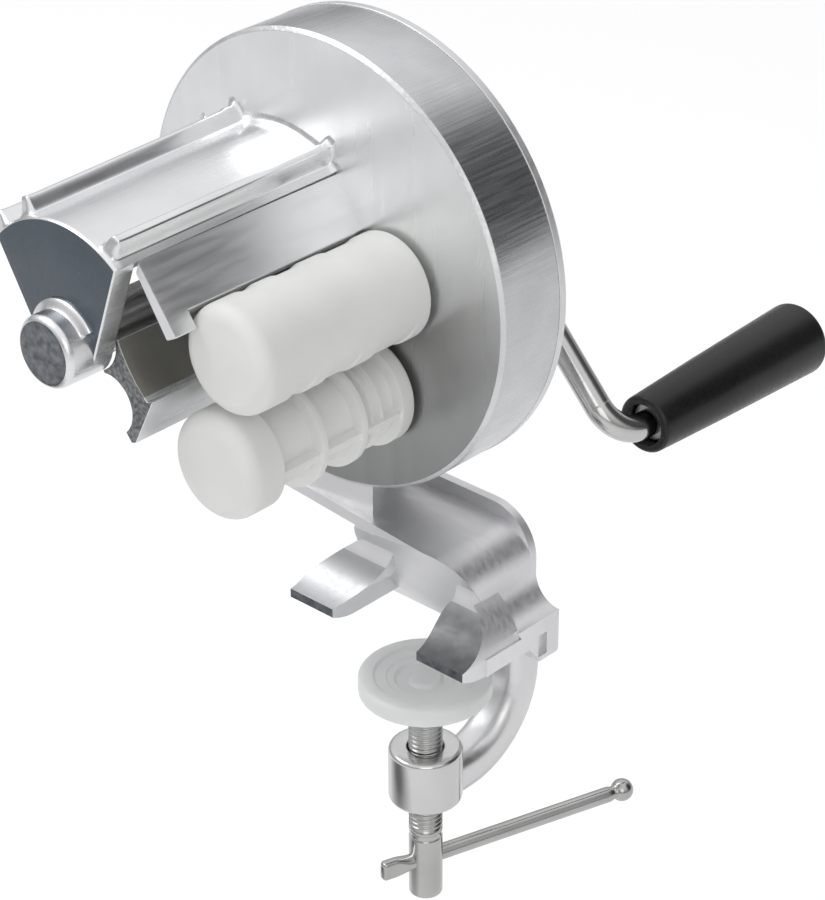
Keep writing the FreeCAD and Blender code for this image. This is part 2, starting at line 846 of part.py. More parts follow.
def grip_stop_ring():
    centre = grip_centre()
    y1 = grip_start + grip_recess_depth - side_play
    return tube_y(centre.x, centre.z, y1 - stop_ring_thickness, y1, crank_rod_radius + stop_ring_extra,
                  crank_rod_radius + seated)


def grip_push_nut():
    centre = grip_centre()
    y0 = grip_end() - grip_end_recess_depth + side_play
    return tube_y(centre.x, centre.z, y0, y0 + push_nut_thickness, crank_rod_radius + push_nut_extra,
                  crank_rod_radius + seated)


# Clamp bracket: strap under the drum, leg, two prongs with a slanted web between them
def clamp_bracket():
    # outline of leg and base seen from the front, strap included
    shoulder = shoulder_radius * (1 - math.sqrt(0.5))
    flare = flare_radius * (1 - math.sqrt(0.5))
    flare_top = base_edge_height + flare_radius
    corner = base_corner * (1 - math.sqrt(0.5))
    front = [
        (-base_right, stop_z),
        (base_right - base_corner, stop_z),
        ("arc", (base_right - corner, stop_z + corner), (base_right, stop_z + base_corner)),
        (base_right, base_edge_height),
        ("arc", (leg_right + flare, base_edge_height + flare), (leg_right, flare_top)),
        (leg_right, bracket_top - shoulder_radius),
        ("arc", (leg_right - shoulder, bracket_top - shoulder), (leg_right - shoulder_radius, bracket_top)),
        (leg_left, bracket_top),
        (leg_left - shoulder_radius * 0.4, flare_top + 6.0),
        ("arc", (-leg_right - 1.0, flare_top - 3.5), (-base_right, base_edge_height))]
    # outline of the block seen from the side: seat, stop, back, slanted web
    core_side = [
        (web_foot_y, 0.0),
        (seat_back_y, 0.0),
        (stop_y, stop_z),
        (bracket_back, stop_z),
        (bracket_back, bracket_top),
        (web_crown_y, bracket_top)]
    core = prism_xz(front, -through, through).common(prism_yz(core_side, -through, through))

    # prongs: side outline seen from the right, front outlines seen from the front
    prong_side = [
        (prong_tip_y, prong_tip_low),
        (prong_tip_y, prong_tip_high),
        ("arc", prong_dish, (prong_top_y, web_top_z)),
        (prong_back, web_top_z),
        (prong_back, 0.0),
        (seat_front_y, 0.0),
        ("arc", ((prong_tip_y + seat_front_y) / 2, 0.55), (prong_tip_y, prong_tip_low))]
    right_front = [
        (right_inner, -1.0),
        (right_outer, -1.0),
        (right_outer, prong_low),
        ("arc", right_outer_middle, right_outer_high),
        (right_outer_top, web_top_z),
        (right_inner_top, web_top_z),
        right_inner_high,
        ("arc", right_inner_middle, (right_inner, prong_low))]
    left_front = [
        (left_inner, -1.0),
        (left_inner, prong_low),
        ("arc", left_inner_middle, left_inner_high),
        (left_inner_high[0], web_top_z),
        (left_outer_top, web_top_z),
        ("arc", left_outer_middle, (-base_right, base_edge_height)),
        (-base_right, -1.0)]
    side = prism_yz(prong_side, -through, through)
    right_prong = prism_xz(right_front, -through, through).common(side)
    left_prong = prism_xz(left_front, -through, through).common(side)
    # seats that carry the prongs on into the base
    seats = []
    for x0, x1 in ((-base_right, left_inner), (right_inner, base_right)):
        seats.append(box(x0, x1, seat_front_y, seat_back_y, 0.0, prong_low))

    strap = prism_xz([
        (strap_left, bracket_top - strap_thickness),
        (strap_right, bracket_top - strap_thickness),
        (strap_right, bracket_top),
        (strap_left, bracket_top)], -20, bracket_back)
    rib_y = (strap_near_left + bracket_back) / 2
    strap_rib = prism_xz([
        (strap_left + 6.0, bracket_top - strap_thickness),
        (-16.0, bracket_top - strap_thickness - strap_rib_depth),
        (-10.0, bracket_top - strap_thickness - strap_rib_depth),
        (-10.0, bracket_top - 1.0),
        (strap_left + 6.0, bracket_top - 1.0)], rib_y - strap_rib_width / 2, rib_y + strap_rib_width / 2)
    rim_radius = leg_right - rim_end
    rim_slant = rim_radius * (1 - math.sqrt(0.5))
    rim_top = bracket_top + rim_height
    rim = prism_xz([
        (strap_left, bracket_top - 1.0),
        (rim_end, bracket_top - 1.0),
        (leg_right - shoulder_radius, rim_top - rim_radius),
        (leg_right, rim_top - rim_radius),
        ("arc", (leg_right - rim_slant, rim_top - rim_slant), (rim_end, rim_top)),
        (strap_left, rim_top)], bracket_back - rim_width, bracket_back)
    cradle_low = bracket_top - 1.0
    cradle_left = housing_x - cradle_half_width
    footprint = Part.makePolygon([
        Vec(cradle_left, cradle_front, cradle_low),
        Vec(cradle_right, cradle_front, cradle_low),
        Vec(cradle_back_right[0], cradle_back_right[1], cradle_low),
        Vec(cradle_back_right[0], housing_back, cradle_low),
        Vec(cradle_left, housing_back, cradle_low),
        Vec(cradle_left, cradle_front, cradle_low)])
    cradle = Part.Face(footprint).extrude(Vec(0, 0, cradle_height))

    body = join([core, right_prong, left_prong, strap, strap_rib, rim, cradle] + seats)
    # near edge of the strap, drawn in towards its left end
    slope = (strap_near_left - strap_near_right) / (leg_right - strap_left)
    far_left = strap_left - 5.0
    far_right = leg_right + 16.0
    low = web_top_z - strap_thickness
    wedge = Part.makePolygon([
        Vec(far_left, -40, low),
        Vec(far_right, -40, low),
        Vec(far_right, strap_near_right - slope * (far_right - leg_right), low),
        Vec(far_left, strap_near_left + slope * (strap_left - far_left), low),
        Vec(far_left, -40, low)])
    near = Part.Face(wedge).extrude(Vec(0, 0, 60))
    body = body.cut(near.cut(box(leg_left - 1.0, through, -through, through, 0, web_top_z)))
    # drum above the cradle
    body = body.cut(bar_y(housing_x, housing_z, -through, through, housing_radius + seated))
    # hollow of the leg, open to the back
    wall = bracket_core_wall
    hollow = prism_xz([
        (leg_left + wall, core_floor),
        (leg_right - wall, core_floor),
        (leg_right - wall, bracket_top - shoulder_radius),
        (leg_right - shoulder_radius, bracket_top - bracket_core_wall),
        (leg_left + wall, bracket_top - bracket_core_wall)], core_front, bracket_back + 1)
    body = body.cut(hollow)
    # shallow cast recess in the right end of the base
    recess = box(base_right - side_pocket_depth, base_right + 1, side_pocket_y[0], side_pocket_y[1],
                 side_pocket_z[0], side_pocket_z[1])
    return body.cut(recess)


# Clamp arm: swept C with the threaded boss at its lower end
def clamp_arm():
    start = Vec(0, bracket_back, arm_top_z - arm_height / 2)
    back = Vec(0, arm_back_y, arm_top_z - arm_height / 2)
    low = Vec(0, arm_back_y, arm_low_z)
    end = Vec(0, 0, arm_low_z)
    diagonal_top = arm_top_bend * (1 - math.sqrt(0.5))
    diagonal_low = arm_low_bend * (1 - math.sqrt(0.5))
    y_axis = Vec(0, 1, 0)
    z_axis = Vec(0, 0, 1)
    a0 = back - y_axis * arm_top_bend
    a1 = back - z_axis * arm_top_bend
    a_middle = back - (y_axis + z_axis) * diagonal_top
    b0 = low + z_axis * arm_low_bend
    b1 = low - y_axis * arm_low_bend
    b_middle = low + (z_axis - y_axis) * diagonal_low
    path = Part.Wire([
        Part.makeLine(start, a0),
        Part.Arc(a0, a_middle, a1).toShape(),
        Part.makeLine(a1, b0),
        Part.Arc(b0, b_middle, b1).toShape(),
        Part.makeLine(b1, end)])
    half_x = arm_width / 2
    half_z = arm_height / 2
    corner = arm_corner
    quarter = corner * (1 - math.sqrt(0.5))

    def at(px, pz):
        return start + Vec(px, 0, pz)

    edges = []
    signs = ((1, 1), (-1, 1), (-1, -1), (1, -1))
    for number, (sx, sz) in enumerate(signs):
        on_side = at(sx * half_x, sz * (half_z - corner))
        on_top = at(sx * (half_x - corner), sz * half_z)
        middle = at(sx * (half_x - quarter), sz * (half_z - quarter))
        first, last = (on_side, on_top) if number % 2 == 0 else (on_top, on_side)
        if edges:
            edges.append(Part.makeLine(edges[-1].Vertexes[-1].Point, first))
        edges.append(Part.Arc(first, middle, last).toShape())
    edges.append(Part.makeLine(edges[-1].Vertexes[-1].Point, edges[0].Vertexes[0].Point))
    arm = path.makePipeShell([Part.Wire(edges)], True, False)
    boss = Part.makeCylinder(boss_radius, boss_top_z - boss_bottom_z, Vec(0, 0, boss_bottom_z))
    boss = boss.makeChamfer(boss_edge * 0.6, [boss.Edges[0], boss.Edges[2]])
    body = join([arm, boss])
    return body.cut(bar_z_axis(arm_low_z - 40, arm_low_z + 40, thread_radius + running))


# Clamp screw with its barrel, the swivelling pad and the sliding tommy bar
def clamp_screw():
    shoulder = pad_top_z - pad_thickness
    thread = bar_z_axis(barrel_top_z, shoulder - side_play, thread_radius)
    tip = bar_z_axis(shoulder - side_play - 1, shoulder + tip_height - side_play, tip_radius)
    barrel = Part.makeCylinder(thread_radius, barrel_top_z - screw_end_z, Vec(0, 0, screw_end_z))
    barrel = barrel.makeChamfer(barrel_edge, [barrel.Edges[2]])
    body = join([thread, tip, barrel])
    cross = Part.makeCylinder(bar_radius + running, 40, Vec(-20, 0, bar_z), Vec(1, 0, 0))
    cross.rotate(Vec(0, 0, bar_z), Vec(0, 0, 1), bar_angle)
    return body.cut(cross)


def clamp_pad():
    disc = Part.makeCylinder(pad_radius, pad_thickness, Vec(0, 0, pad_top_z - pad_thickness))
    disc = disc.makeChamfer(pad_edge * 0.6, [disc.Edges[0], disc.Edges[2]])
    body = disc.cut(bar_z_axis(pad_top_z - pad_step_depth, pad_top_z + 1, pad_step_radius))
    body = body.cut(bar_z_axis(pad_top_z - pad_well_depth, pad_top_z + 1, pad_well_radius))
    body = body.cut(bar_z_axis(pad_top_z - pad_thickness - 1, pad_top_z - pad_thickness + tip_height,
                               tip_radius + running))
    return body


def tommy_bar():
    paddle_start = -thread_radius - bar_paddle_gap
    paddle_end = paddle_start - bar_paddle_length
    rod = Part.makeCylinder(bar_radius, bar_ball_at - paddle_start, Vec(paddle_start, 0, bar_z), Vec(1, 0, 0))
    ball = Part.makeSphere(bar_ball_radius, Vec(bar_ball_at, 0, bar_z))
    half = bar_paddle_width / 2
    thick = bar_paddle_thickness / 2
    paddle = prism_xz([
        (paddle_start, bar_z - bar_radius),
        (paddle_start, bar_z + bar_radius),
        (paddle_start - bar_paddle_length * 0.4, bar_z + half),
        (paddle_end + 0.8, bar_z + half),
        (paddle_end, bar_z + half - 0.8),
        (paddle_end, bar_z - half + 0.8),
        (paddle_end + 0.8, bar_z - half),
        (paddle_start - bar_paddle_length * 0.4, bar_z - half)], -thick, thick)
    body = join([rod, ball, paddle])
    body.rotate(Vec(0, 0, bar_z), Vec(0, 0, 1), bar_angle)
    return body


nodes["gear_housing"] = gear_housing()
nodes["back_cover"] = back_cover()
nodes["cover_screws"] = cover_screws()
nodes["cutter_hood"] = cutter_hood()
nodes["forming_jaw"] = forming_jaw()
nodes["clamp_bracket"] = clamp_bracket()
nodes["clamp_arm"] = clamp_arm()
nodes["plate_bush"] = flanged_bush(cutter_at, cutter_shaft_radius, plate_back, plate_boss_front + plate_boss_skin)
nodes["wall_bush"] = flanged_bush(cutter_at, cutter_shaft_radius, housing_front, bush_back)
nodes["crank_bush"] = flanged_bush(cutter_at, cutter_shaft_radius, crank_boss_end, housing_back)
nodes["upper_roller_bush"] = flanged_bush(upper_at, roller_shaft_radius, housing_front, bush_back)
nodes["lower_roller_bush"] = flanged_bush(lower_at, roller_shaft_radius, housing_front, bush_back)
idler_centre = place(idler_at)
nodes["idler_pin"] = bar_y(idler_centre.x, idler_centre.z, inside_front - 2, shaft_end, idler_pin_radius)
nodes["idler_clip"] = shaft_clip(idler_at, reduction_end + side_play, idler_pin_radius, idler_pin_radius + seated)

cutter_centre = place(cutter_at)
nodes["cutter_shaft"] = bar_y(cutter_centre.x, cutter_centre.z, cutter_shaft_front, cutter_shaft_end,
                              cutter_shaft_radius)
nodes["cutter_blades"] = cutter_blades()
nodes["cutter_pinion"] = gear(pinion_teeth, cutter_at, pinion_phase, reduction_start, reduction_end,
                              cutter_shaft_radius + seated)
nodes["crank_hub"] = crank_hub()
nodes["hub_grub_screws"] = hub_grub_screws()
nodes["crank_rod"] = crank_rod()
nodes["grip_stop_ring"] = grip_stop_ring()
nodes["grip_push_nut"] = grip_push_nut()
nodes["grip"] = grip()
nodes["grip_end_cap"] = grip_end_cap()

nodes["idler_gear"] = gear(idler_teeth, idler_at, idler_phase, reduction_start, reduction_end,
                           idler_pin_radius + running)

nodes["upper_roller"] = upper_roller()
nodes["upper_roller_shaft"] = roller_shaft(upper_at)
nodes["upper_roller_gear"] = gear(roller_teeth, upper_at, roller_phase, reduction_start, reduction_end,
                                  roller_shaft_radius + seated)
nodes["upper_timing_gear"] = gear(timing_teeth, upper_at, upper_timing_phase, timing_start, timing_end,
                                  roller_shaft_radius + seated)
nodes["upper_shaft_clip"] = shaft_clip(upper_at, timing_end + side_play, roller_shaft_radius,
                                       roller_shaft_radius + seated)

nodes["lower_roller"] = lower_roller()
nodes["lower_roller_shaft"] = roller_shaft(lower_at)
nodes["lower_timing_gear"] = gear(timing_teeth, lower_at, lower_timing_phase, timing_start, timing_end,
                                  roller_shaft_radius + seated)
nodes["lower_shaft_clip"] = shaft_clip(lower_at, timing_end + side_play, roller_shaft_radius,
                                       roller_shaft_radius + seated)

nodes["clamp_pad"] = clamp_pad()
nodes["clamp_screw"] = clamp_screw()
nodes["tommy_bar"] = tommy_bar()

for name, shape in nodes.items():
    shape.exportStep("parts/" + name + ".step")
    print(name, shape.isValid(), len(shape.Solids), round(shape.Volume, 1))
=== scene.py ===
import json
from math import radians

import bmesh
import bpy
import numpy as np
from mathutils import Matrix, Vector


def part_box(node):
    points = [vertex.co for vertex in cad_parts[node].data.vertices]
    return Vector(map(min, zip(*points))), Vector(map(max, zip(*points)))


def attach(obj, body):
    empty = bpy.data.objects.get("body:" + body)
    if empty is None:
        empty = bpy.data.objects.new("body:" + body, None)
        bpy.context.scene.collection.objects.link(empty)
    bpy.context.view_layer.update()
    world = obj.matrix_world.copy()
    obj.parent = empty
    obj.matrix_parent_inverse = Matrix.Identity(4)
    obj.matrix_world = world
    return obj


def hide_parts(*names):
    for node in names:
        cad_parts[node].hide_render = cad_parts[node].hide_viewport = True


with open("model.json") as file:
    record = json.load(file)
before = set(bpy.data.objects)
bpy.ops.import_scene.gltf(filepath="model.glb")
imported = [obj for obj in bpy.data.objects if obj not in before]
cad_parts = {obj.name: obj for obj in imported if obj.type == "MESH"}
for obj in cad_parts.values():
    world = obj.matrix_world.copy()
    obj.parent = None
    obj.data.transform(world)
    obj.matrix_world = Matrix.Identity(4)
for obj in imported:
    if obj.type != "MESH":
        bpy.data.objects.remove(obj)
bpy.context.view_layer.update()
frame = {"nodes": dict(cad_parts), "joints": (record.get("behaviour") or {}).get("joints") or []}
cadNodes = frame["nodes"]

mm = 0.001  # every size below is in millimetres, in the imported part's own frame
poleRadius = 0.02  # least radius of a ring, closed by a flat cap
joints = {joint["name"]: joint for joint in frame["joints"]}


def jointPlace(name):
    return np.array(joints[name]["pos_m"]) / mm


def nodeBox(name):
    low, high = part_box(name)
    return np.array(low) / mm, np.array(high) / mm


# places that everything else is measured from
drumLow, drumHigh = nodeBox("gear_housing")
drumX, drumZ = (drumLow[0] + drumHigh[0]) / 2, (drumLow[2] + drumHigh[2]) / 2
drumFront, drumBack = drumLow[1], drumHigh[1]
drumRadius = (drumHigh[0] - drumLow[0]) / 2
cutterX, _, cutterZ = jointPlace("crank_spin")
upperX, _, upperZ = jointPlace("upper_roller_spin")
lowerX, _, lowerZ = jointPlace("lower_roller_spin")
gripX, _, gripZ = jointPlace("grip_spin")


# Mesh helpers
def smoothStep(low, high, value):
    # 0 below low, 1 above high, and 3t^2 - 2t^3 between them
    t = np.clip((value - low) / (high - low), 0, 1)
    return t * t * (3 - 2 * t)


def roundCorners(corners, closed=False, steps=5):
    # polyline through corners (a, b, radius); each corner with a radius becomes an arc tangent to both sides
    pts = [np.array(c[:2], float) for c in corners]
    radii = [c[2] if len(c) > 2 else 0.0 for c in corners]
    out = []
    count = len(pts)
    for i in range(count):
        if radii[i] <= 0 or (not closed and i in (0, count - 1)):
            out.append(pts[i])
            continue
        toLast = pts[i - 1] - pts[i]
        toNext = pts[(i + 1) % count] - pts[i]
        a, b = toLast / np.linalg.norm(toLast), toNext / np.linalg.norm(toNext)
        half = np.arccos(np.clip(a @ b, -1, 1)) / 2
        reach = min(radii[i] / np.tan(half), np.linalg.norm(toLast) * 0.49, np.linalg.norm(toNext) * 0.49)
        radius = reach * np.tan(half)
        centre = pts[i] + (a + b) / np.linalg.norm(a + b) * radius / np.sin(half)
        start, end = pts[i] + a * reach - centre, pts[i] + b * reach - centre
        turn = np.arctan2(start[0] * end[1] - start[1] * end[0], start @ end)
        for t in np.linspace(0, turn, steps + 1):
            out.append(centre + np.array([start[0] * np.cos(t) - start[1] * np.sin(t),
                                          start[0] * np.sin(t) + start[1] * np.cos(t)]))
    return np.array(out)


def gridFaces(rows, cols, loopRows):
    # quads between neighbouring grid points; columns wrap round, and so do rows that form a loop
    r = np.arange(rows if loopRows else rows - 1)
    rr, cc = np.meshgrid(r, np.arange(cols), indexing="ij")
    r2, c2 = (rr + 1) % rows, (cc + 1) % cols
    return np.stack([rr * cols + cc, rr * cols + c2, r2 * cols + c2, r2 * cols + cc], -1).reshape(-1, 4)


def newObject(name, data):
    thing = bpy.data.objects.new(name, data)
    bpy.context.scene.collection.objects.link(thing)
    return thing


def makePiece(name, points, faces, sharpAngle=38.0):
    # points in mm; the mesh is closed, and turned outwards by the sign of its volume
    mesh = bpy.data.meshes.new(name)
    mesh.from_pydata((np.asarray(points) * mm).tolist(), [], [list(map(int, f)) for f in faces])
    mesh.update()
    net = bmesh.new()
    net.from_mesh(mesh)
    bmesh.ops.remove_doubles(net, verts=net.verts, dist=1e-7)
    if net.calc_volume(signed=True) < 0:
        bmesh.ops.reverse_faces(net, faces=net.faces)
    net.to_mesh(mesh)
    net.free()
    piece = newObject(name, mesh)
    smoothByAngle(piece, sharpAngle)
    return piece


def smoothByAngle(piece, sharpAngle):
    mesh = piece.data
    mesh.polygons.foreach_set("use_smooth", np.ones(len(mesh.polygons), bool))
    mesh.set_sharp_from_angle(angle=radians(sharpAngle))


def gridPiece(name, grid, loopRows=False, sharpAngle=38.0):
    # grid of points (rows, cols, 3); open rows are closed by a flat cap at each end
    rows, cols = grid.shape[:2]
    faces = [tuple(f) for f in gridFaces(rows, cols, loopRows)]
    if not loopRows:
        faces.append(tuple(range(cols))[::-1])
        faces.append(tuple(range((rows - 1) * cols, rows * cols)))
    return makePiece(name, grid.reshape(-1, 3), faces, sharpAngle)


def turned(name, centre, profile, axis="y", steps=128, closed=False, sharpAngle=38.0):
    # profile rows (along, radius) turned about the axis: x = cx + r cos a, z = cz + r sin a
    angle = np.linspace(0, 2 * np.pi, steps, endpoint=False)
    along, radius = profile[:, 0][:, None], np.maximum(profile[:, 1], poleRadius)[:, None]
    u, v = radius * np.cos(angle), radius * np.sin(angle)
    w = np.broadcast_to(along, u.shape)
    if axis == "y":
        grid = np.stack([centre[0] + u, w, centre[1] + v], -1)
    else:
        grid = np.stack([centre[0] + u, centre[1] + v, w], -1)
    return gridPiece(name, grid, loopRows=closed, sharpAngle=sharpAngle)


def aroundY(centre, radius, angle, y):
    # grid of points x = cx + r cos a, z = cz + r sin a
    return np.stack([centre[0] + radius * np.cos(angle), np.broadcast_to(y, radius.shape),
                     centre[1] + radius * np.sin(angle)], -1)


def slab(name, outline, y0, y1, edge, steps=4):
    # closed XZ outline pushed along Y; both ends shrink along a quarter circle of radius edge
    ahead, behind = np.roll(outline, -1, 0) - outline, outline - np.roll(outline, 1, 0)
    ahead /= np.linalg.norm(ahead, axis=1)[:, None]
    behind /= np.linalg.norm(behind, axis=1)[:, None]
    normalA, normalB = np.stack([ahead[:, 1], -ahead[:, 0]], 1), np.stack([behind[:, 1], -behind[:, 0]], 1)
    inward = -(normalA + normalB) / np.maximum(1 + (normalA * normalB).sum(1), 0.3)[:, None]
    area = (outline[:, 0] * np.roll(outline[:, 1], -1) - np.roll(outline[:, 0], -1) * outline[:, 1]).sum()
    inward *= np.sign(area)
    t = np.linspace(0, np.pi / 2, steps + 1)
    insets = edge * (1 - np.sin(t))
    depths = edge * (1 - np.cos(t))
    frontRows = [(y0 + depth, inset) for depth, inset in zip(depths, insets)]
    backRows = [(y1 - depth, inset) for depth, inset in zip(depths[::-1], insets[::-1])]
    grid = []
    for y, inset in frontRows + backRows:
        ring = outline + inward * inset
        grid.append(np.stack([ring[:, 0], np.full(len(ring), y), ring[:, 1]], 1))
    return gridPiece(name, np.array(grid))


def carried(name, path, section, up=(1.0, 0.0, 0.0)):
    # section (n, 2) carried along path (m, 3): its first axis is up made square to the path,
    # its second the cross product of the path's direction and the first
    tangent = np.gradient(path, axis=0)
    tangent /= np.linalg.norm(tangent, axis=1)[:, None]
    first = np.array(up) - (tangent @ np.array(up))[:, None] * tangent
    first /= np.linalg.norm(first, axis=1)[:, None]
    second = np.cross(tangent, first)
    if section.ndim == 2:
        section = np.broadcast_to(section, (len(path),) + section.shape)
    grid = path[:, None] + section[:, :, :1] * first[:, None] + section[:, :, 1:] * second[:, None]
    return gridPiece(name, grid)


def circle(radius, steps):
    # closed ring (radius cos a, radius sin a)
    a = np.linspace(0, 2 * np.pi, steps, endpoint=False)
    return np.stack([radius * np.cos(a), radius * np.sin(a)], 1)


def softened(node, width, angle=30.0, segments=3):
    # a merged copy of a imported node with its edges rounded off
    mesh = cadNodes[node].data.copy()
    net = bmesh.new()
    net.from_mesh(mesh)
    bmesh.ops.remove_doubles(net, verts=net.verts, dist=2e-6)
    bmesh.ops.dissolve_limit(net, angle_limit=radians(0.6), verts=net.verts, edges=net.edges)
    net.to_mesh(mesh)
    net.free()
    mesh.materials.clear()
    if mesh.has_custom_normals:
        mesh.attributes.remove(mesh.attributes["custom_normal"])
    piece = newObject(node + "Soft", mesh)
    smoothByAngle(piece, angle)
    bevel = piece.modifiers.new("roundedEdges", "BEVEL")
    bevel.width = width * mm
    bevel.segments = segments
    bevel.limit_method = "ANGLE"
    bevel.angle_limit = radians(angle)
    bevel.harden_normals = True
    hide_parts(node)
    return piece


def dress(piece, material, body, replaces=()):
    # a piece's finish, the body it moves with, its slot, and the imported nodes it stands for
    piece.data.materials.clear()
    piece.data.materials.append(material)
    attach(piece, body)
    if replaces:
        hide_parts(*replaces)
    return piece


def faceFacts(piece):
    # middle in mm and normal of each face, as rows (x, y, z); the Turn values below are parts of that normal
    count = len(piece.data.polygons)
    centres, normals = np.zeros(count * 3), np.zeros(count * 3)
    piece.data.polygons.foreach_get("center", centres)
    piece.data.polygons.foreach_get("normal", normals)
    return centres.reshape(-1, 3) / mm, normals.reshape(-1, 3)


def paintFaces(piece, index, added):
    # index names a finish for each face: 0 for the piece's own, 1 and up for the added ones
    for finish in added:
        piece.data.materials.append(look[finish])
    piece.data.polygons.foreach_set("material_index", np.asarray(index, np.int32))


def paintedReflectionFront(piece, limit, finish):
    # the flat front, which is each face whose middle lies before limit, takes a finish of its own, painted
    # dark as a painted reflection
    centres, _ = faceFacts(piece)
    paintFaces(piece, centres[:, 1] < limit, [finish])


# Finishes
def newMaterial(name):
    material = bpy.data.materials.new(name)
    material.use_nodes = True
    tree = material.node_tree
    tree.nodes.clear()
    out = tree.nodes.new("ShaderNodeOutputMaterial")
    shader = tree.nodes.new("ShaderNodeBsdfPrincipled")
    tree.links.new(shader.outputs[0], out.inputs[0])
    return material, tree, shader


def noiseOf(tree, scale, detail, stretch=(1, 1, 1), turn=(0, 0, 0)):
    # noise on object coordinates; stretch makes the grain long in the directions with small numbers
    coordinates = tree.nodes.new("ShaderNodeTexCoord")
    mapping = tree.nodes.new("ShaderNodeMapping")
    mapping.inputs["Scale"].default_value = stretch
    mapping.inputs["Rotation"].default_value = [radians(t) for t in turn]
    noise = tree.nodes.new("ShaderNodeTexNoise")
    noise.inputs["Scale"].default_value = scale
    noise.inputs["Detail"].default_value = detail
    tree.links.new(coordinates.outputs["Object"], mapping.inputs["Vector"])
    tree.links.new(mapping.outputs[0], noise.inputs["Vector"])
    return noise.outputs["Fac"]


def spread(tree, value, low, high, fromLow=0.3, fromHigh=0.7):
    # value between fromLow and fromHigh becomes a number between low and high
    node = tree.nodes.new("ShaderNodeMapRange")
    node.inputs["From Min"].default_value = fromLow
    node.inputs["From Max"].default_value = fromHigh
    node.inputs["To Min"].default_value = low
    node.inputs["To Max"].default_value = high
    tree.links.new(value, node.inputs["Value"])
    return node.outputs[0]


def tinted(tree, value, dark, light, low=0.3, high=0.7):
    # a colour that runs from dark to light as value runs from low to high
    ramp = tree.nodes.new("ShaderNodeValToRGB")
    ramp.color_ramp.elements[0].position = low
    ramp.color_ramp.elements[1].position = high
    ramp.color_ramp.elements[0].color = (*dark, 1)
    ramp.color_ramp.elements[1].color = (*light, 1)
    tree.links.new(value, ramp.inputs[0])
    return ramp.outputs[0]


def timesShare(tree, colour, share):
    # colour is a socket or a fixed colour
    product = tree.nodes.new("ShaderNodeVectorMath")
    product.operation = "SCALE"
    if isinstance(colour, tuple):
        product.inputs[0].default_value = colour
    else:
        tree.links.new(colour, product.inputs[0])
    tree.links.new(share, product.inputs["Scale"])
    return product.outputs[0]


def paintedShadeByHeight(tree, colour, fade):
    # painted shade: colour times a share that grows from fade[2] to 1 between two heights in mm, so it is
    # darker lower down
    coordinates = tree.nodes.new("ShaderNodeTexCoord")
    split = tree.nodes.new("ShaderNodeSeparateXYZ")
    tree.links.new(coordinates.outputs["Object"], split.inputs[0])
    share = tree.nodes.new("ShaderNodeMapRange")
    share.interpolation_type = "SMOOTHSTEP"
    share.inputs["From Min"].default_value = fade[0] * mm
    share.inputs["From Max"].default_value = fade[1] * mm
    share.inputs["To Min"].default_value = fade[2]
    share.inputs["To Max"].default_value = 1.0
    tree.links.new(split.outputs["Z"], share.inputs["Value"])
    return timesShare(tree, colour, share.outputs[0])


def bumped(tree, heights, shader):
    # each (height, strength, distance in mm) is laid over the one before
    last = None
    for height, strength, distance in heights:
        bump = tree.nodes.new("ShaderNodeBump")
        bump.inputs["Strength"].default_value = strength
        bump.inputs["Distance"].default_value = distance * mm
        tree.links.new(height, bump.inputs["Height"])
        if last is not None:
            tree.links.new(last, bump.inputs["Normal"])
        last = bump.outputs[0]
    tree.links.new(last, shader.inputs["Normal"])


metalUsual = dict(cloud=45, grain=900, stretch=(1, 1, 1), turn=(0, 0, 0), wave=60, waveStrength=0.25,
                  waveDepth=0.25, grainStrength=0.2, grainDepth=0.03)
plasticUsual = dict(cloud=60, grain=700, milk=0.0, milkReach=(1.0, 0.95, 0.85), milkScale=3.0, gloss=0.5,
                    wave=90, waveStrength=0.2, waveDepth=0.2, fineStrength=0.1, fineDepth=0.02)


def metalFinish(name, values):
    # cloudy tint, painted shade by height where fade is given, fine brushed grain in one direction, and a
    # soft waviness of the cast or ground surface
    v = {**metalUsual, **values}
    material, tree, shader = newMaterial(name)
    shader.inputs["Metallic"].default_value = 1.0
    colour = tinted(tree, noiseOf(tree, v["cloud"], 3), v["dark"], v["light"])
    # fade paints shade into the colour by height
    if "fade" in v:
        colour = paintedShadeByHeight(tree, colour, v["fade"])
    tree.links.new(colour, shader.inputs["Base Color"])
    grain = noiseOf(tree, v["grain"], 2, v["stretch"], v["turn"])
    tree.links.new(spread(tree, grain, *v["rough"]), shader.inputs["Roughness"])
    wave = noiseOf(tree, v["wave"], 2)
    bumped(tree, [(wave, v["waveStrength"], v["waveDepth"]),
                  (grain, v["grainStrength"], v["grainDepth"])], shader)
    return material


def plasticFinish(name, values):
    # even tint that lets a little light in, under a fine skin and a soft moulded waviness
    v = {**plasticUsual, **values}
    material, tree, shader = newMaterial(name)
    colour = tinted(tree, noiseOf(tree, v["cloud"], 2), v["dark"], v["light"])
    tree.links.new(colour, shader.inputs["Base Color"])
    fine = noiseOf(tree, v["grain"], 3)
    tree.links.new(spread(tree, fine, *v["rough"]), shader.inputs["Roughness"])
    shader.inputs["Subsurface Weight"].default_value = v["milk"]
    shader.inputs["Subsurface Radius"].default_value = v["milkReach"]
    shader.inputs["Subsurface Scale"].default_value = v["milkScale"] * mm
    shader.inputs["Specular IOR Level"].default_value = v["gloss"]
    wave = noiseOf(tree, v["wave"], 2)
    bumped(tree, [(wave, v["waveStrength"], v["waveDepth"]),
                  (fine, v["fineStrength"], v["fineDepth"])], shader)
    return material


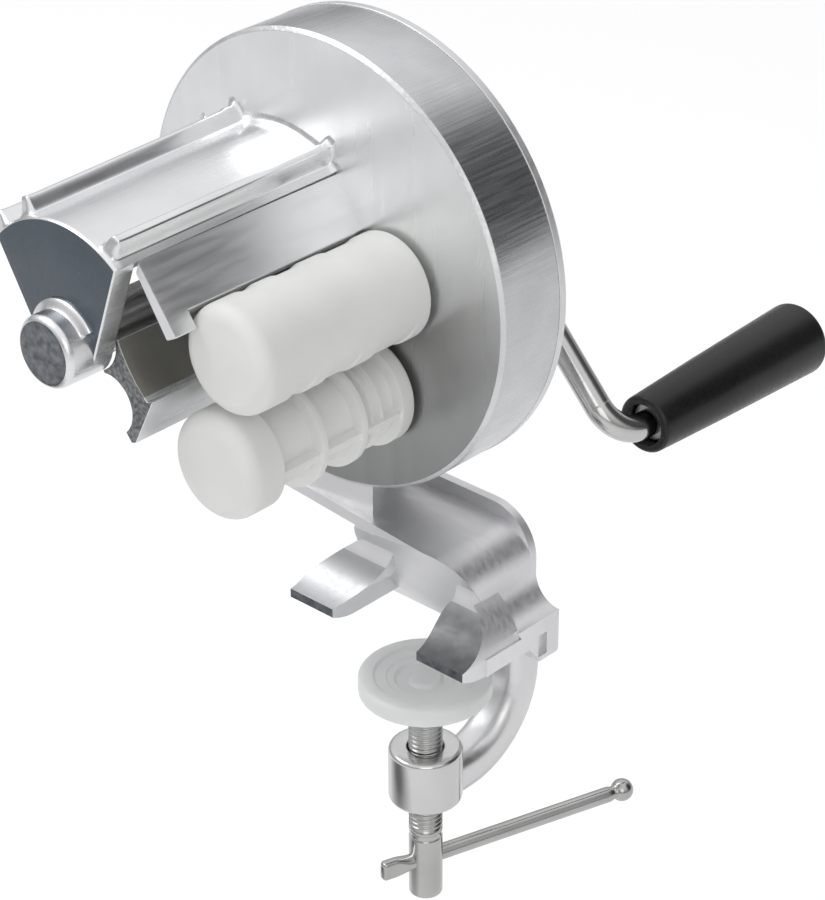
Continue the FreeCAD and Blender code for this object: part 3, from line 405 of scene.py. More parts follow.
finishes = {
    # satinFace's fade is painted shade: the drum's face is painted darker below 80 mm in place of a darker
    # reflection lower down
    "satinFace": dict(dark=(0.78, 0.79, 0.79), light=(0.86, 0.87, 0.87), rough=(0.27, 0.35), grain=420,
                      stretch=(1, 1, 0.06), wave=28, waveStrength=0.3, waveDepth=0.35, grainDepth=0.01,
                      fade=(80.0, 128.0, 0.5)),
    "brushedBand": dict(dark=(0.58, 0.59, 0.60), light=(0.72, 0.73, 0.74), rough=(0.2, 0.34), grain=1300,
                        stretch=(1, 0.035, 1), turn=(12, 0, 0), wave=20, waveStrength=0.12, grainStrength=0.5,
                        grainDepth=0.05),
    "roughBevel": dict(dark=(0.62, 0.63, 0.64), light=(0.86, 0.86, 0.87), rough=(0.3, 0.5), grain=1500,
                       stretch=(1, 0.4, 1), wave=700, waveStrength=0.7, waveDepth=0.2),
    "castHood": dict(dark=(0.82, 0.83, 0.84), light=(0.90, 0.90, 0.91), rough=(0.2, 0.3), grain=500,
                     stretch=(1, 0.08, 1), wave=90, waveStrength=0.3, waveDepth=0.3, grainDepth=0.02),
    "castGuard": dict(dark=(0.80, 0.81, 0.82), light=(0.88, 0.88, 0.89), rough=(0.34, 0.44), grain=500,
                      stretch=(1, 0.1, 1), wave=60, waveStrength=0.25, waveDepth=0.25, grainDepth=0.02),
    # painted dark reflection on the end plate's flat front
    "paintedReflectionPlate": dict(dark=(0.10, 0.12, 0.14), light=(0.13, 0.15, 0.17), rough=(0.25, 0.35), grain=600,
                      wave=50, waveStrength=0.1),
    # painted dark reflection over real brushed grain, on the boss front and the prong ends
    "brushedPaintedReflection": dict(dark=(0.10, 0.11, 0.12), light=(0.26, 0.27, 0.29), rough=(0.3, 0.5), grain=900,
                        cloud=420, stretch=(1, 1, 0.25), wave=300, waveStrength=0.4, waveDepth=0.1),
    "castBracket": dict(dark=(0.80, 0.80, 0.81), light=(0.88, 0.88, 0.89), rough=(0.4, 0.52), grain=900,
                        stretch=(0.15, 1, 0.5), wave=70, waveStrength=0.3, waveDepth=0.3, grainStrength=0.4),
    "castArm": dict(dark=(0.76, 0.76, 0.77), light=(0.82, 0.82, 0.82), rough=(0.3, 0.4), grain=500, wave=40,
                    waveStrength=0.15, waveDepth=0.3, grainStrength=0.1),
    "turnedBoss": dict(dark=(0.66, 0.66, 0.66), light=(0.72, 0.72, 0.72), rough=(0.12, 0.2), grain=600,
                       stretch=(1, 1, 0.1), wave=40, waveStrength=0.1, grainStrength=0.1),
    # painted shade: the right prong's face is painted darker towards its foot, below 19 mm
    "prongPaintedShade": dict(dark=(0.62, 0.63, 0.64), light=(0.80, 0.81, 0.82), rough=(0.3, 0.42), grain=900,
                      cloud=300, stretch=(0.3, 1, 1), wave=80, waveStrength=0.3, fade=(9.0, 19.0, 0.36)),
    # an even painted shade of grey on the left prong's face
    "leftProngPaintedShade": dict(dark=(0.56, 0.57, 0.58), light=(0.64, 0.65, 0.66), rough=(0.34, 0.44), grain=700,
                       wave=60, waveStrength=0.2),
    # the sawn end's saw grain is real, and its dark tone is a painted reflection
    "sawnJawPaintedReflection": dict(dark=(0.10, 0.11, 0.11), light=(0.34, 0.35, 0.35), rough=(0.3, 0.5), grain=1200,
                    cloud=900, stretch=(1, 1, 0.2), turn=(0, 35, 0), wave=500, waveStrength=0.5,
                    waveDepth=0.15),
    # painted dark brownish reflection on the jaw's ramp
    "jawRampPaintedReflection": dict(dark=(0.42, 0.41, 0.38), light=(0.52, 0.51, 0.47), rough=(0.16, 0.26), grain=600, wave=60,
                    waveStrength=0.25, waveDepth=0.2),
    "platedRod": dict(dark=(0.60, 0.60, 0.59), light=(0.70, 0.70, 0.69), rough=(0.1, 0.2), grain=900,
                      wave=80, waveStrength=0.15),
    "platedScrew": dict(dark=(0.46, 0.46, 0.45), light=(0.58, 0.58, 0.57), rough=(0.1, 0.2), grain=900,
                        wave=80, waveStrength=0.1),
    "turnedSteel": dict(dark=(0.50, 0.50, 0.50), light=(0.62, 0.62, 0.62), rough=(0.25, 0.4), grain=900,
                        stretch=(1, 0.1, 1), wave=80),
    "cutGear": dict(dark=(0.42, 0.42, 0.43), light=(0.55, 0.55, 0.56), rough=(0.3, 0.5), grain=700, wave=60),
    "bronze": dict(dark=(0.5, 0.34, 0.16), light=(0.66, 0.48, 0.25), rough=(0.35, 0.5), grain=900, wave=200),
}
plastics = {
    "milkyRoller": dict(dark=(0.80, 0.805, 0.785), light=(0.84, 0.845, 0.825), rough=(0.38, 0.5), milk=0.3,
                        milkScale=3.0, gloss=0.4, wave=70, waveStrength=0.25),
    "milkyPad": dict(dark=(0.77, 0.785, 0.78), light=(0.83, 0.845, 0.84), rough=(0.3, 0.4), milk=0.4,
                     milkScale=3.0, gloss=0.5, wave=60, waveStrength=0.25),
    "blackGrip": dict(dark=(0.006, 0.006, 0.007), light=(0.012, 0.012, 0.013), rough=(0.26, 0.36), gloss=0.4,
                      wave=90, waveStrength=0.1, fineStrength=0.15),
}
look = {name: metalFinish(name, values) for name, values in finishes.items()}
look.update({name: plasticFinish(name, values) for name, values in plastics.items()})
print("finishes made:", len(look))

# Drum and cover
drumShape = dict(bevel=1.1, bevelDepth=0.85, bevelEdge=0.5, edge=0.25, wall=3.5, frontWall=4.0, faceTurn=0.97,
                 steps=240)


def makeDrum(d):
    # profile (y, r) of an open cup, turned about the drum's middle; face, bevel and band have a finish each,
    # and the face's carries painted shade that darkens it lower down
    rim, bevel, wallBack = drumRadius, d["bevel"], drumFront + d["frontWall"]
    outer = roundCorners([
        (drumFront, 0), (drumFront, rim - bevel, d["edge"]),
        (drumFront + bevel * d["bevelDepth"], rim, d["bevelEdge"]), (drumBack, rim, d["edge"]),
        (drumBack, rim - d["wall"]), (wallBack, rim - d["wall"]), (wallBack, 0)])
    drum = turned("drum", (drumX, drumZ), outer, steps=d["steps"], sharpAngle=30)
    dress(drum, look["satinFace"], "frame", ["gear_housing"])
    centres, normals = faceFacts(drum)
    onBevel = centres[:, 1] < drumFront + bevel
    index = np.where(-normals[:, 1] > d["faceTurn"], 0, np.where(onBevel, 1, 2))
    paintFaces(drum, index, ["roughBevel", "brushedBand"])


makeDrum(drumShape)
dress(softened("back_cover", 0.4), look["castBracket"], "frame")
dress(softened("cover_screws", 0.15), look["turnedSteel"], "frame")
print("drum and cover made")

# Hood with its ribs, end plate, boss and guard
hoodShape = dict(front=-84.7, coneStart=-78.0, radiusFront=33.4, radiusBack=35.0, wall=3.0,
                 left=138.0, right=53.0, edge=0.3, edgeRun=0.5, faceFillet=2.4, frontRun=3.5, backRun=5.5,
                 rows=(14, 40, 22), columns=230)
ribShape = dict(angles=(62.0, 115.0, 135.0), start=-84.2, rise=2.4, height=4.2, top=0.715, foot=3.1,
                blobHeight=0.35, backBlob=(3.2, 1.6), frontBlob=(2.2, 1.1), frontBlobShare=0.6,
                footFillet=0.5, footReach=4.2)


def coneRadius(d, y):
    return np.interp(y, [d["coneStart"], drumFront], [d["radiusFront"], d["radiusBack"]])


def hoodRadius(d, ribs, angle, y):
    # cone radius, plus a rounded ridge for each rib, plus a small fillet against the drum's face;
    # a ridge swells a little where it starts and where it meets the drum
    radius = coneRadius(d, y)
    total = radius.copy()
    start = smoothStep(ribs["start"], ribs["start"] + ribs["rise"], y)
    (backAt, backHalf), (frontAt, frontHalf) = ribs["backBlob"], ribs["frontBlob"]
    backBlob = np.exp(-((y - (drumFront - backAt)) / backHalf) ** 2)
    frontBlob = np.exp(-((y - (ribs["start"] + frontAt)) / frontHalf) ** 2)
    height = ribs["height"] + ribs["blobHeight"] * (backBlob + ribs["frontBlobShare"] * frontBlob)
    for rib in ribs["angles"]:
        s = np.abs(np.radians(angle - rib) * radius)
        ridge = 1 - smoothStep(ribs["top"], ribs["foot"], s)
        total += ridge * start * height + ribs["footFillet"] * np.exp(-(s / ribs["footReach"]) ** 2) * start
    gap = np.clip(d["faceFillet"] - (drumFront - y), 0, d["faceFillet"])
    return total + d["faceFillet"] - np.sqrt(np.maximum(d["faceFillet"] ** 2 - gap ** 2, 0))


def makeHood(d, ribs):
    # each y has a closed ring: out along the ribbed radius from left to right, and back along the inner cone
    frontEnd, backStart = d["front"] + d["frontRun"], drumFront - d["backRun"]
    frontRows, middleRows, backRows = d["rows"]
    y = np.concatenate([np.linspace(d["front"], frontEnd, frontRows),
                        np.linspace(frontEnd + 0.7, backStart - 0.5, middleRows),
                        np.linspace(backStart, drumFront, backRows)])
    yy, aa = np.meshgrid(y, np.linspace(d["left"], d["right"], d["columns"]), indexing="ij")
    edge = d["edge"] * (1 - smoothStep(0, d["edgeRun"], yy - d["front"]))
    outer, inner = hoodRadius(d, ribs, aa, yy) - edge, coneRadius(d, yy) - d["wall"]
    a = np.radians(np.concatenate([aa, aa[:, ::-1]], 1))
    r = np.concatenate([outer, inner], 1)
    grid = aroundY((cutterX, cutterZ), r, a, np.concatenate([yy, yy], 1))
    hood = gridPiece("hoodShell", grid, sharpAngle=50)
    dress(hood, look["castHood"], "frame", ["cutter_hood"])


makeHood(hoodShape, ribShape)

guardShape = dict(front=-77.5, frontEdge=0.4, frontShrink=0.03, middle=-40.0, bottomOuter=(18.5, 10.3),
                  bottomInner=(15.0, 8.4), footEdge=0.5, overlap=2.0, draft=(0.9, 0.54),
                  scallopStart=-70.5, scallopEdge=0.1, scallopLead=0.5, scallopRadius=16.0)


def makeGuard(d):
    # a flat wall hanging from the hood's right edge, with one ring of its section for each y;
    # behind scallopStart its foot follows the roller
    h = hoodShape
    a, b = radians(h["right"]), radians(h["right"] - d["overlap"])
    inner = h["radiusFront"] - h["wall"]
    topOuter = np.array([cutterX + h["radiusFront"] * np.cos(a), cutterZ + h["radiusFront"] * np.sin(a)])
    topInner = np.array([cutterX + inner * np.cos(b), cutterZ + inner * np.sin(b)])
    lowOuter = np.array(d["bottomOuter"]) + (drumX, drumZ)
    lowInner = np.array(d["bottomInner"]) + (drumX, drumZ)
    roller = np.array([upperX, upperZ])

    def stopped(top, low):
        # share of the way from top to low where the wall meets the scallop's circle
        run = low - top
        f = top - roller
        p, q = run @ run, f @ run
        return (-q - np.sqrt(q * q - p * (f @ f - d["scallopRadius"] ** 2))) / p

    cutOuter = topOuter + (lowOuter - topOuter) * stopped(topOuter, lowOuter)
    cutInner = topInner + (lowInner - topInner) * min(stopped(topInner, lowInner), 1.0)
    rows = []
    front, scallop = d["front"], d["scallopStart"]
    for y in (front, front + d["frontEdge"], scallop - d["scallopLead"], scallop, scallop + d["scallopEdge"],
              d["middle"], drumFront):
        foot, footIn = (cutOuter, cutInner) if y > scallop else (lowOuter, lowInner)
        grow = np.array(d["draft"]) * (y - front) / (drumFront - front)
        ring = roundCorners([(*(topInner + grow), 0), (*(topOuter + grow), 0),
                             (*(foot + grow), d["footEdge"]), (*(footIn + grow), d["footEdge"])],
                            closed=True, steps=3)
        if y == front:
            ring = ring + (ring.mean(0) - ring) * d["frontShrink"]
        rows.append(np.stack([ring[:, 0], np.full(len(ring), y), ring[:, 1]], 1))
    guard = gridPiece("guardWall", np.array(rows))
    dress(guard, look["castGuard"], "frame")


makeGuard(guardShape)

plateShape = dict(front=-85.0, back=-78.0, radius=33.2, bossRadius=10.0, edge=0.6, faceDepth=0.05,
                  topSteps=60, lowSteps=40)


def makeEndPlate(d):
    # circle segment on top, straight sides down to the boss and round it
    left, right = hoodShape["left"], hoodShape["right"]
    top = np.radians(np.linspace(left, right, d["topSteps"]))
    reach = np.degrees(np.arccos(d["bossRadius"] / d["radius"]))
    below = np.radians(np.linspace(right - reach, left + reach - 360, d["lowSteps"]))
    outline = np.concatenate([
        np.stack([d["radius"] * np.cos(top), d["radius"] * np.sin(top)], 1),
        np.stack([d["bossRadius"] * np.cos(below), d["bossRadius"] * np.sin(below)], 1)])
    outline += (cutterX, cutterZ)
    plate = slab("endPlate", outline, d["front"], d["back"], d["edge"])
    dress(plate, look["castHood"], "frame")
    # the end plate's front is painted dark, a painted reflection
    paintedReflectionFront(plate, d["front"] + d["faceDepth"], "paintedReflectionPlate")


makeEndPlate(plateShape)

bossShape = dict(front=-93.0, radius=10.0, edge=2.2, back=-79.0, steps=120, faceDepth=0.12, foot=12.4,
                 footStart=-87.6, footFull=-85.6, footGap=0.2, footRows=26, proud=0.01, steepest=1.3)


def makeBearingBoss(d):
    # r(y, a): rounded front edge, straight barrel, then a bulged foot wherever the plate is behind it
    front = roundCorners([(d["front"], 0.0), (d["front"], d["radius"], d["edge"]),
                          (d["footStart"], d["radius"])], steps=8)
    foot = np.linspace(d["footStart"] + d["footGap"], d["back"], d["footRows"])
    y = np.concatenate([front[:, 0], foot])
    base = np.concatenate([front[:, 1], np.full(len(foot), d["radius"])])
    angle = np.linspace(0, 2 * np.pi, d["steps"], endpoint=False)
    plateFoot = plateShape["bossRadius"]
    reach = np.arccos(plateFoot / plateShape["radius"])
    right, left = radians(hoodShape["right"]) - reach, radians(hoodShape["left"]) + reach
    fromRight = (angle - right + np.pi) % (2 * np.pi) - np.pi
    fromLeft = (left - angle + np.pi) % (2 * np.pi) - np.pi
    behind = np.minimum(fromRight, fromLeft)
    room = np.where(behind > 0, plateFoot / np.cos(np.clip(behind, 0, d["steepest"])), plateFoot)
    bulge = smoothStep(d["footStart"], d["footFull"], y) * (d["foot"] - d["radius"])
    radius = base[:, None] + np.minimum(bulge[:, None], room[None, :] - d["radius"] + d["proud"])
    radius = np.maximum(radius, poleRadius)
    boss = gridPiece("bearingBoss", aroundY((cutterX, cutterZ), radius, angle, y[:, None]))
    dress(boss, look["castHood"], "frame")
    # the boss front is painted dark, a painted reflection
    paintedReflectionFront(boss, d["front"] + d["faceDepth"], "brushedPaintedReflection")


makeBearingBoss(bossShape)

jawShape = dict(edge=0.25, endTurn=0.9, rampTurn=0.2, rampFoot=-11.5)


def makeJaw(d):
    # sawn front end painted dark as a painted reflection, a painted dark reflection on the ramp on the side
    # that looks up and right, light cast elsewhere
    jaw = dress(softened("forming_jaw", d["edge"]), look["castHood"], "frame")
    c, n = faceFacts(jaw)
    ramp = (n[:, 0] > d["rampTurn"]) & (n[:, 2] > d["rampTurn"]) & (c[:, 2] > drumZ + d["rampFoot"])
    index = np.where(n[:, 1] < -d["endTurn"], 1, np.where(ramp, 2, 0))
    paintFaces(jaw, index, ["sawnJawPaintedReflection", "jawRampPaintedReflection"])


makeJaw(jawShape)
print("hood, plate, boss, guard and jaw made")

# Clamp
bracketShape = dict(edge=0.7, edgeAngle=28, tipFront=-19.8, tipTurn=0.9, dishFront=-7.2, dishTop=26.0,
                    dishTurn=0.1, sideTurn=0.3)


def makeBracket(d):
    # ground prong ends painted dark as a painted reflection; the right prong's face has painted shade
    # darkening its foot and stays light at its top, and the left one's is an even painted shade of grey
    bracket = softened("clamp_bracket", d["edge"], d["edgeAngle"])
    dress(bracket, look["castBracket"], "frame")
    c, n = faceFacts(bracket)
    tip = (n[:, 1] < -d["tipTurn"]) & (c[:, 1] < d["tipFront"])
    forward = (n[:, 2] > d["dishTurn"]) & (n[:, 1] < 0.0) & (np.abs(n[:, 0]) < d["sideTurn"])
    dish = forward & (c[:, 1] < d["dishFront"]) & (c[:, 2] < d["dishTop"])
    index = np.where(tip, 1, np.where(dish & (c[:, 0] > 0), 2, np.where(dish, 3, 0)))
    paintFaces(bracket, index, ["brushedPaintedReflection", "prongPaintedShade", "leftProngPaintedShade"])


makeBracket(bracketShape)

armShape = dict(width=13.0, height=12.6, corner=4.4, start=18.0, back=38.0, end=4.0, top=-5.3, low=-57.3,
                topBend=14.0, lowBend=24.0, bossRadius=10.75, bossTop=-43.2, bossBottom=-60.8, bossEdge=1.5,
                hole=5.3, holeEdge=0.6)


def bentPath(corners, bend, spacing=1.5, steps=20):
    # straight runs with a circular bend at each inner corner, as dense points
    points = [np.array(corners[0], float)]
    for i in range(1, len(corners) - 1):
        corner = np.array(corners[i], float)
        a = np.array(corners[i - 1], float) - corner
        b = np.array(corners[i + 1], float) - corner
        a, b = a / np.linalg.norm(a), b / np.linalg.norm(b)
        radius = bend[i - 1]
        half = np.arccos(a @ b) / 2
        reach = radius / np.tan(half)
        centre = corner + (a + b) / np.linalg.norm(a + b) * radius / np.sin(half)
        start, end = corner + a * reach - centre, corner + b * reach - centre
        turn = np.pi - 2 * half
        t = np.linspace(0, 1, steps + 1)[:, None] * turn
        arc = (np.sin(turn - t) * start + np.sin(t) * end) / np.sin(turn)
        arc = centre + arc
        run = np.linalg.norm(arc[0] - points[-1])
        count = max(2, int(run / spacing))
        points.extend(points[-1] + (arc[0] - points[-1]) * s for s in np.linspace(0, 1, count)[1:-1])
        points.extend(arc)
    last = np.array(corners[-1], float)
    start = points[-1]
    count = max(2, int(np.linalg.norm(last - start) / spacing))
    points.extend(start + (last - start) * s for s in np.linspace(0, 1, count)[1:])
    return np.array(points)


def makeArm(d):
    # a rounded rectangle carried back, down and forward again, and a turned ring about the screw
    path = bentPath([(0, d["start"], d["top"]), (0, d["back"], d["top"]), (0, d["back"], d["low"]),
                     (0, d["end"], d["low"])], (d["topBend"], d["lowBend"]))
    w, h, c = d["width"] / 2, d["height"] / 2, d["corner"]
    section = roundCorners([(w, -h, c), (w, h, c), (-w, h, c), (-w, -h, c)], closed=True, steps=7)
    arm = carried("clampArm", path, section)
    dress(arm, look["castArm"], "frame", ["clamp_arm"])
    ring = roundCorners([
        (d["bossTop"], d["hole"], d["holeEdge"]), (d["bossTop"], d["bossRadius"], d["bossEdge"]),
        (d["bossBottom"], d["bossRadius"], d["bossEdge"]), (d["bossBottom"], d["hole"], d["holeEdge"])],
        closed=True, steps=6)
    boss = turned("clampBoss", (0, 0), ring, axis="z", steps=96, closed=True)
    dress(boss, look["turnedBoss"], "frame")


makeArm(armShape)

screwShape = dict(radius=4.95, root=4.35, pitch=1.5, crest=(0.08, 0.42), threadStart=0.4, runOut=1.0,
                  rowsPerTurn=9, bottom=-94.7, barrelTop=-70.8, top=-24.9, edge=0.7,
                  shoulder=(0.6, 0.45), rootStart=0.2, neck=2.6, neckDepth=0.3, neckHalf=(1.2, 0.6),
                  neckEdges=(0.5, 0.8), tipStart=0.1, tipTop=-21.6, tipRadius=3.5, steps=48)


def makeScrew(d):
    # thread: r = root + (radius - root) * a rounded triangle wave of z / pitch - angle / 2 pi
    angle = np.linspace(0, 2 * np.pi, d["steps"], endpoint=False)
    z = np.arange(d["barrelTop"] + d["threadStart"], d["top"], d["pitch"] / d["rowsPerTurn"])
    wave = (z[:, None] / d["pitch"] - angle[None, :] / (2 * np.pi)) % 1.0
    ridge = smoothStep(*d["crest"], 0.5 - np.abs(wave - 0.5))
    fade = smoothStep(d["top"], d["top"] - d["runOut"], z)[:, None]
    threaded = d["root"] + (d["radius"] - d["root"]) * ridge * fade
    r, top = d["radius"], d["barrelTop"]
    neck, neckRadius = top - d["neck"], r - d["neckDepth"]
    (outerHalf, innerHalf), (outerEdge, innerEdge) = d["neckHalf"], d["neckEdges"]
    below = roundCorners([
        (d["bottom"], 0.0), (d["bottom"], r, d["edge"]), (neck - outerHalf, r, outerEdge),
        (neck - innerHalf, neckRadius, innerEdge), (neck + innerHalf, neckRadius, innerEdge),
        (neck + outerHalf, r, outerEdge), (top - d["shoulder"][0], r), (top, r - d["shoulder"][1]),
        (top + d["rootStart"], d["root"])], steps=5)
    tip = d["tipRadius"]
    above = np.array([(d["top"] + d["tipStart"], tip), (d["tipTop"], tip), (d["tipTop"], 0.0)])
    zAll = np.concatenate([below[:, 0], z, above[:, 0]])
    rAll = np.concatenate([np.repeat(below[:, 1:], d["steps"], 1), threaded,
                           np.repeat(above[:, 1:], d["steps"], 1)])
    rAll = np.maximum(rAll, poleRadius)
    grid = np.stack([rAll * np.cos(angle), rAll * np.sin(angle), np.repeat(zAll[:, None], d["steps"], 1)], -1)
    screw = gridPiece("clampScrew", grid, sharpAngle=50)
    dress(screw, look["platedScrew"], "screw", ["clamp_screw"])


makeScrew(screwShape)

# rings: depth below the top, radius and rounding of each corner, from the rim inwards
padShape = dict(top=-18.8, thickness=5.8, radius=19.1, edge=1.3, hole=3.8,
                rings=((0.0, 14.9, 0.25), (0.8, 14.3, 0.4), (0.8, 11.2, 0.3), (1.15, 10.9, 0.3),
                       (1.15, 8.9, 0.3), (2.1, 8.3, 0.4), (2.1, 5.2, 0.5), (1.2, 4.2, 0.5), (1.2, 0.0, 0.0)))


def makePad(d):
    # profile (z, r) turned about the screw, with stepped rings on top: rim, flat, shallow step, well
    top, low, r = d["top"], d["top"] - d["thickness"], d["radius"]
    rings = [(top - depth, radius, rounding) for depth, radius, rounding in d["rings"]]
    profile = roundCorners([(low, d["hole"]), (low, r, d["edge"]), (top, r, d["edge"]), *rings], steps=5)
    pad = turned("clampPad", (0, 0), profile, axis="z", steps=128)
    dress(pad, look["milkyPad"], "pad", ["clamp_pad"])


makePad(padShape)

barShape = dict(angle=71.75, height=-82.9, radius=2.4, steps=32, bladeEnd=-14.7, bladeStart=-5.6,
                bladeTall=3.05, bladeThin=1.75, bladeBlend=(-5.0, 0.4), bladeSquare=0.45,
                tipRun=1.2, tipShare=0.35, ballAt=67.8, ball=3.5, ballFrom=2.3, waistAt=3.4,
                waistHalf=0.9, waistDepth=0.14)


def makeTommyBar(d):
    # section half sizes (a across, b up) along the bar: blade, round bar, slight waist, ball;
    # the section is |cos|^p, |sin|^p with p below 1 on the blade, which makes it squarer
    s = np.concatenate([np.linspace(d["bladeEnd"], d["bladeStart"] + 1, 34),
                        np.linspace(0, d["ballAt"] - 6, 12),
                        np.linspace(d["ballAt"] - 5, d["ballAt"] + d["ball"], 26)])
    blendStart, blendEnd = d["bladeBlend"]
    flat = 1 - smoothStep(d["bladeStart"] + blendStart, d["bladeStart"] + blendEnd, s)
    toTip = np.clip((d["bladeEnd"] + d["tipRun"] - s) / d["tipRun"], 0, 1)
    tip = np.sqrt(np.clip(1 - toTip ** 2, 0.02, 1))
    a = (d["radius"] + (d["bladeThin"] - d["radius"]) * flat) * np.maximum(tip, d["tipShare"])
    b = (d["radius"] + (d["bladeTall"] - d["radius"]) * flat) * (1 - (1 - tip) * d["tipShare"])
    waist = 1 - d["waistDepth"] * np.exp(-((s - (d["ballAt"] - d["waistAt"])) / d["waistHalf"]) ** 2)
    ball = np.sqrt(np.maximum(d["ball"] ** 2 - (s - d["ballAt"]) ** 2, poleRadius ** 2))
    onBall = s > d["ballAt"] - d["ballFrom"]
    a, b = np.where(onBall, ball, a * waist), np.where(onBall, ball, b * waist)
    angle = np.linspace(0, 2 * np.pi, d["steps"], endpoint=False)
    power = 1 - d["bladeSquare"] * flat[:, None]
    across = np.sign(np.cos(angle)) * np.abs(np.cos(angle)) ** power * a[:, None]
    upward = np.sign(np.sin(angle)) * np.abs(np.sin(angle)) ** power * b[:, None]
    turn = radians(d["angle"])
    grid = np.stack([s[:, None] * np.cos(turn) - across * np.sin(turn),
                     s[:, None] * np.sin(turn) + across * np.cos(turn), d["height"] + upward], -1)
    bar = gridPiece("tommyBar", grid, sharpAngle=45)
    dress(bar, look["platedScrew"], "tommy_bar", ["tommy_bar"])


makeTommyBar(barShape)
print("clamp made")

# Rollers; discs and ridges are given as start behind the front end, and width
rollerShape = dict(front=-69.5, back=-9.5, radius=15.0, edge=4.2, edgeRows=12, cap=12.0, capRun=0.18,
                   endDisc=5.0, bayStart=5.0, soft=0.45, lead=0.1,
                   backEdge=((0.5, 0.0), (0.15, 0.15), (0.0, 0.5)), ridgeHeight=1.6,
                   ridgeHalf=(0.75, 0.25), columns=240, bays=240)
upperShape = dict(discs=((18.5, 5.6), (34.5, 7.2)), core=14.4, last=14.4, ridges=(), smoothSide=40.0,
                  smoothHalf=(48.0, 88.0))
lowerShape = dict(discs=((24.9, 2.9), (39.7, 3.0)), core=8.2, last=12.0, ridges=((44.9, 1.0), (48.7, 1.0)),
                  webHalf=1.1, webRadius=14.4, webAngle=-5.0)


def makeRoller(name, centre, kind, body):
    # r(y, a) = low(a) between the discs and the full radius at them; low follows a core and one flat web,
    # low = max(core, min(webRadius, webHalf / |sin(a - webAngle)|))
    d = rollerShape
    t = np.linspace(0, np.pi / 2, d["edgeRows"])
    beforeBack, backInset = np.array(d["backEdge"]).T
    y = np.concatenate([d["front"] + d["edge"] * (1 - np.cos(t)),
                        np.linspace(d["front"] + d["bayStart"], d["back"] - beforeBack[0], d["bays"]),
                        d["back"] - beforeBack[1:]])
    solid = np.full(len(y), d["radius"])
    solid[:len(t)] -= d["edge"] * (1 - np.sin(t))
    solid[-len(backInset):] -= backInset
    s = y - d["front"]
    length = d["back"] - d["front"]
    soft, lead = d["soft"], d["lead"]
    full = 1 - smoothStep(d["cap"] - soft, d["cap"] + d["capRun"], s)
    for start, width in (*kind["discs"], (length - d["endDisc"], d["endDisc"] + 1)):
        rise = smoothStep(start - lead, start + soft, s)
        full = np.maximum(full, rise * (1 - smoothStep(start + width - soft, start + width + lead, s)))
    angle = np.linspace(0, 2 * np.pi, d["columns"], endpoint=False)
    core = np.where(s > sum(kind["discs"][-1]), kind["last"], kind["core"])
    for start, width in kind["ridges"]:
        ridge = smoothStep(*d["ridgeHalf"], np.abs(s - start - width / 2))
        core = np.maximum(core, kind["last"] + d["ridgeHeight"] * ridge)
    low = np.repeat(core[:, None], d["columns"], 1)
    if "webHalf" in kind:
        across = np.maximum(np.abs(np.sin(angle - radians(kind["webAngle"]))), 0.01)
        low = np.maximum(low, np.minimum(kind["webRadius"], kind["webHalf"] / across)[None, :])
    full = np.repeat(full[:, None], d["columns"], 1)
    if "smoothSide" in kind:
        # one side is moulded smooth: the hollows between the discs run out towards it
        away = np.abs((np.degrees(angle) - kind["smoothSide"] + 180) % 360 - 180)
        full = np.maximum(full, 1 - smoothStep(*kind["smoothHalf"], away)[None, :])
    radius = np.maximum(low + (solid[:, None] - low) * full, poleRadius)
    roller = gridPiece(name, aroundY(centre, radius, angle, y[:, None]), sharpAngle=50)
    dress(roller, look["milkyRoller"], body, [body])


makeRoller("upperRoller", (upperX, upperZ), upperShape, "upper_roller")
makeRoller("lowerRoller", (lowerX, lowerZ), lowerShape, "lower_roller")
print("rollers made")

# Crank and grip
crankShape = dict(rod=4.0, plane=62.5, bend=11.0, end=144.0, inHub=8.0, hub=8.0, shaftBore=5.2, rodBore=4.02,
                  boreEdge=0.2, frontEdge=0.8, backEdge=1.2)


def makeCrank(d):
    # a circle carried from the hub back, out to the grip's axis and back again; the hub is a turned ring
    low, high = nodeBox("crank_hub")
    path = bentPath([(cutterX, high[1] - d["inHub"], cutterZ), (cutterX, d["plane"], cutterZ),
                     (gripX, d["plane"], gripZ), (gripX, d["end"], gripZ)], (d["bend"], d["bend"]))
    rod = carried("crankRod", path, circle(d["rod"], 40), up=(gripZ - cutterZ, 0, cutterX - gripX))
    dress(rod, look["platedRod"], "crank", ["crank_rod"])
    profile = roundCorners([(low[1], d["shaftBore"], d["boreEdge"]), (low[1], d["hub"], d["frontEdge"]),
                            (high[1], d["hub"], d["backEdge"]), (high[1], d["rodBore"], d["boreEdge"])],
                           closed=True)
    hub = turned("crankHub", (cutterX, cutterZ), profile, steps=80, closed=True)
    dress(hub, look["platedRod"], "crank", ["crank_hub"])


makeCrank(crankShape)

gripShape = dict(start=74.0, length=74.0, small=8.7, large=11.4, edge=2.2, bore=4.1, recess=6.2,
                 recessDepth=5.0, recessEdges=(0.3, 0.5), endRecess=7.4, endDepth=2.6, endEdges=(0.4, 0.2),
                 swellAt=30.0, swell=1.25, swellRound=40.0)
capShape = dict(back=2.4, play=0.05, rim=0.5, dome=0.3, backEdge=0.2, rimEdge=0.6)


